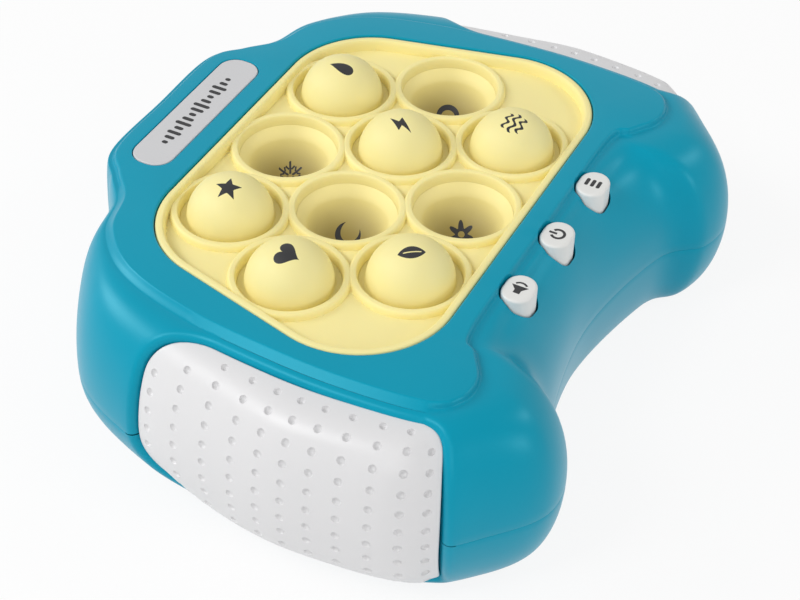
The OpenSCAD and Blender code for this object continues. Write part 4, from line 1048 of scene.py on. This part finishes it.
kept = {blueAbs: ["battery_door"], frameAbs: ["pad_frame"], boardLaminate: ["game_board", "button_board"],
        carbonInk: ["bubble_contacts"], lampEpoxy: ["bubble_leds"], pottingResin: ["sound_chip"],
        switchNylon: ["button_switches", "sound_switch_stem", "power_switch_stem", "mode_switch_stem"],
        platedSteel: ["frame_screws", "board_screws", "button_board_screws", "battery_contacts", "battery_springs",
                      "door_screw", "case_screws"],
        speakerSteel: ["speaker"], coneFilm: ["speaker_cone"], cellJacket: ["battery_1", "battery_2", "battery_3"],
        ribbonFilm: ["button_ribbon"], leadPvc: ["speaker_lead", "battery_lead"]}
for finish, names in kept.items():
    for name in names:
        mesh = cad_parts[name].data
        mesh.materials.clear()
        mesh.materials.append(finish)
print("kept nodes finished")

# Floor, light and camera


def seenRays(tree):  # 1 for rays from the camera, from gloss and through glass
    rays = addNode(tree, "LightPath").outputs
    found = rays["Is Camera Ray"]
    for name in ("Is Glossy Ray", "Is Transmission Ray"):
        either = addNode(tree, "Math", {"operation": "MAXIMUM"})
        tree.links.new(found, either.inputs[0])
        tree.links.new(rays[name], either.inputs[1])
        found = either.outputs[0]
    return found


def mixShaders(tree, share, first, second, end):
    both = addNode(tree, "MixShader")
    tree.links.new(share, both.inputs[0])
    tree.links.new(first.outputs[0], both.inputs[1])
    tree.links.new(second.outputs[0], both.inputs[2])
    tree.links.new(both.outputs[0], tree.nodes[end].inputs["Surface"])


ground = dict(half=4, z=-0.0004, glow=0.88)
floorMesh = bpy.data.meshes.new("floor")
corners = [(x * ground["half"], y * ground["half"], ground["z"]) for x, y in ((-1, -1), (1, -1), (1, 1), (-1, 1))]
floorMesh.from_pydata(corners, [], [(0, 1, 2, 3)])
floor = bpy.data.objects.new("floor", floorMesh)
bpy.context.scene.collection.objects.link(floor)
# Painted studio floor: matte and nearly white, lifted a little where it is seen, so only soft shadows show
floorPaint = bpy.data.materials.new("paleFloor")
floorPaint.use_nodes = True
tree = floorPaint.node_tree
paint = tree.nodes["Principled BSDF"]
paint.inputs["Base Color"].default_value = linear("#f2f2f2")
paint.inputs["Roughness"].default_value = 0.8
glow = addNode(tree, "Emission", {"Color": (1, 1, 1, 1), "Strength": 1.0})
share = addNode(tree, "Math", {"operation": "MULTIPLY"})
tree.links.new(seenRays(tree), share.inputs[0])
share.inputs[1].default_value = ground["glow"]
mixShaders(tree, share.outputs[0], paint, glow, "Material Output")
floorMesh.materials.append(floorPaint)

sky = bpy.data.worlds.new("studio")
bpy.context.scene.world = sky
sky.use_nodes = True
tree = sky.node_tree
plain = tree.nodes["Background"]
plain.inputs["Color"].default_value = (1, 1, 1, 1)
plain.inputs["Strength"].default_value = 0.4
white = addNode(tree, "Background", {"Color": (1, 1, 1, 1), "Strength": 1.0})
mixShaders(tree, seenRays(tree), plain, white, "World Output")

lamps = dict(
    leftBack=dict(at=(-0.22, 0.76, 0.52), size=0.34, power=2.9),
    leftTop=dict(at=(-0.54, 0.33, 0.72), size=0.30, power=2.5),
    right=dict(at=(-0.10, -0.91, 0.30), size=0.2, power=0.95),
    rightTop=dict(at=(0.45, -0.66, 0.58), size=0.2, power=0.95),
    fill=dict(at=(-0.80, -0.36, 0.42), size=0.6, power=1.55))
for name, lamp in lamps.items():
    data = bpy.data.lights.new(name, "AREA")
    data.size = lamp["size"]
    data.energy = lamp["power"]
    light = bpy.data.objects.new(name, data)
    light.location = lamp["at"]
    light.rotation_euler = (Vector((0, 0, 0.02)) - Vector(lamp["at"])).to_track_quat("-Z", "Y").to_euler()
    bpy.context.scene.collection.objects.link(light)

# The photo's camera: place in metres, directions, and focal length in pixels of the photo
view = dict(at=(-0.27175, -0.13489, 0.28228), forward=(0.66545, 0.32596, -0.67151),
            right=(0.45657, -0.88945, 0.02070), focal=1849.4, pixels=800, sensor=36.0)
data = bpy.data.cameras.new("photoCamera")
data.sensor_width = view["sensor"]
data.lens = view["focal"] / view["pixels"] * view["sensor"]
data.clip_start = 0.02
camera = bpy.data.objects.new("photoCamera", data)
back = -Vector(view["forward"]).normalized()
right = Vector(view["right"]).normalized()
up = back.cross(right).normalized()
camera.matrix_world = Matrix.Translation(view["at"]) @ Matrix((right, up, back)).transposed().to_4x4()
bpy.context.scene.collection.objects.link(camera)
bpy.context.scene.camera = camera
bpy.context.scene.view_settings.view_transform = "Standard"
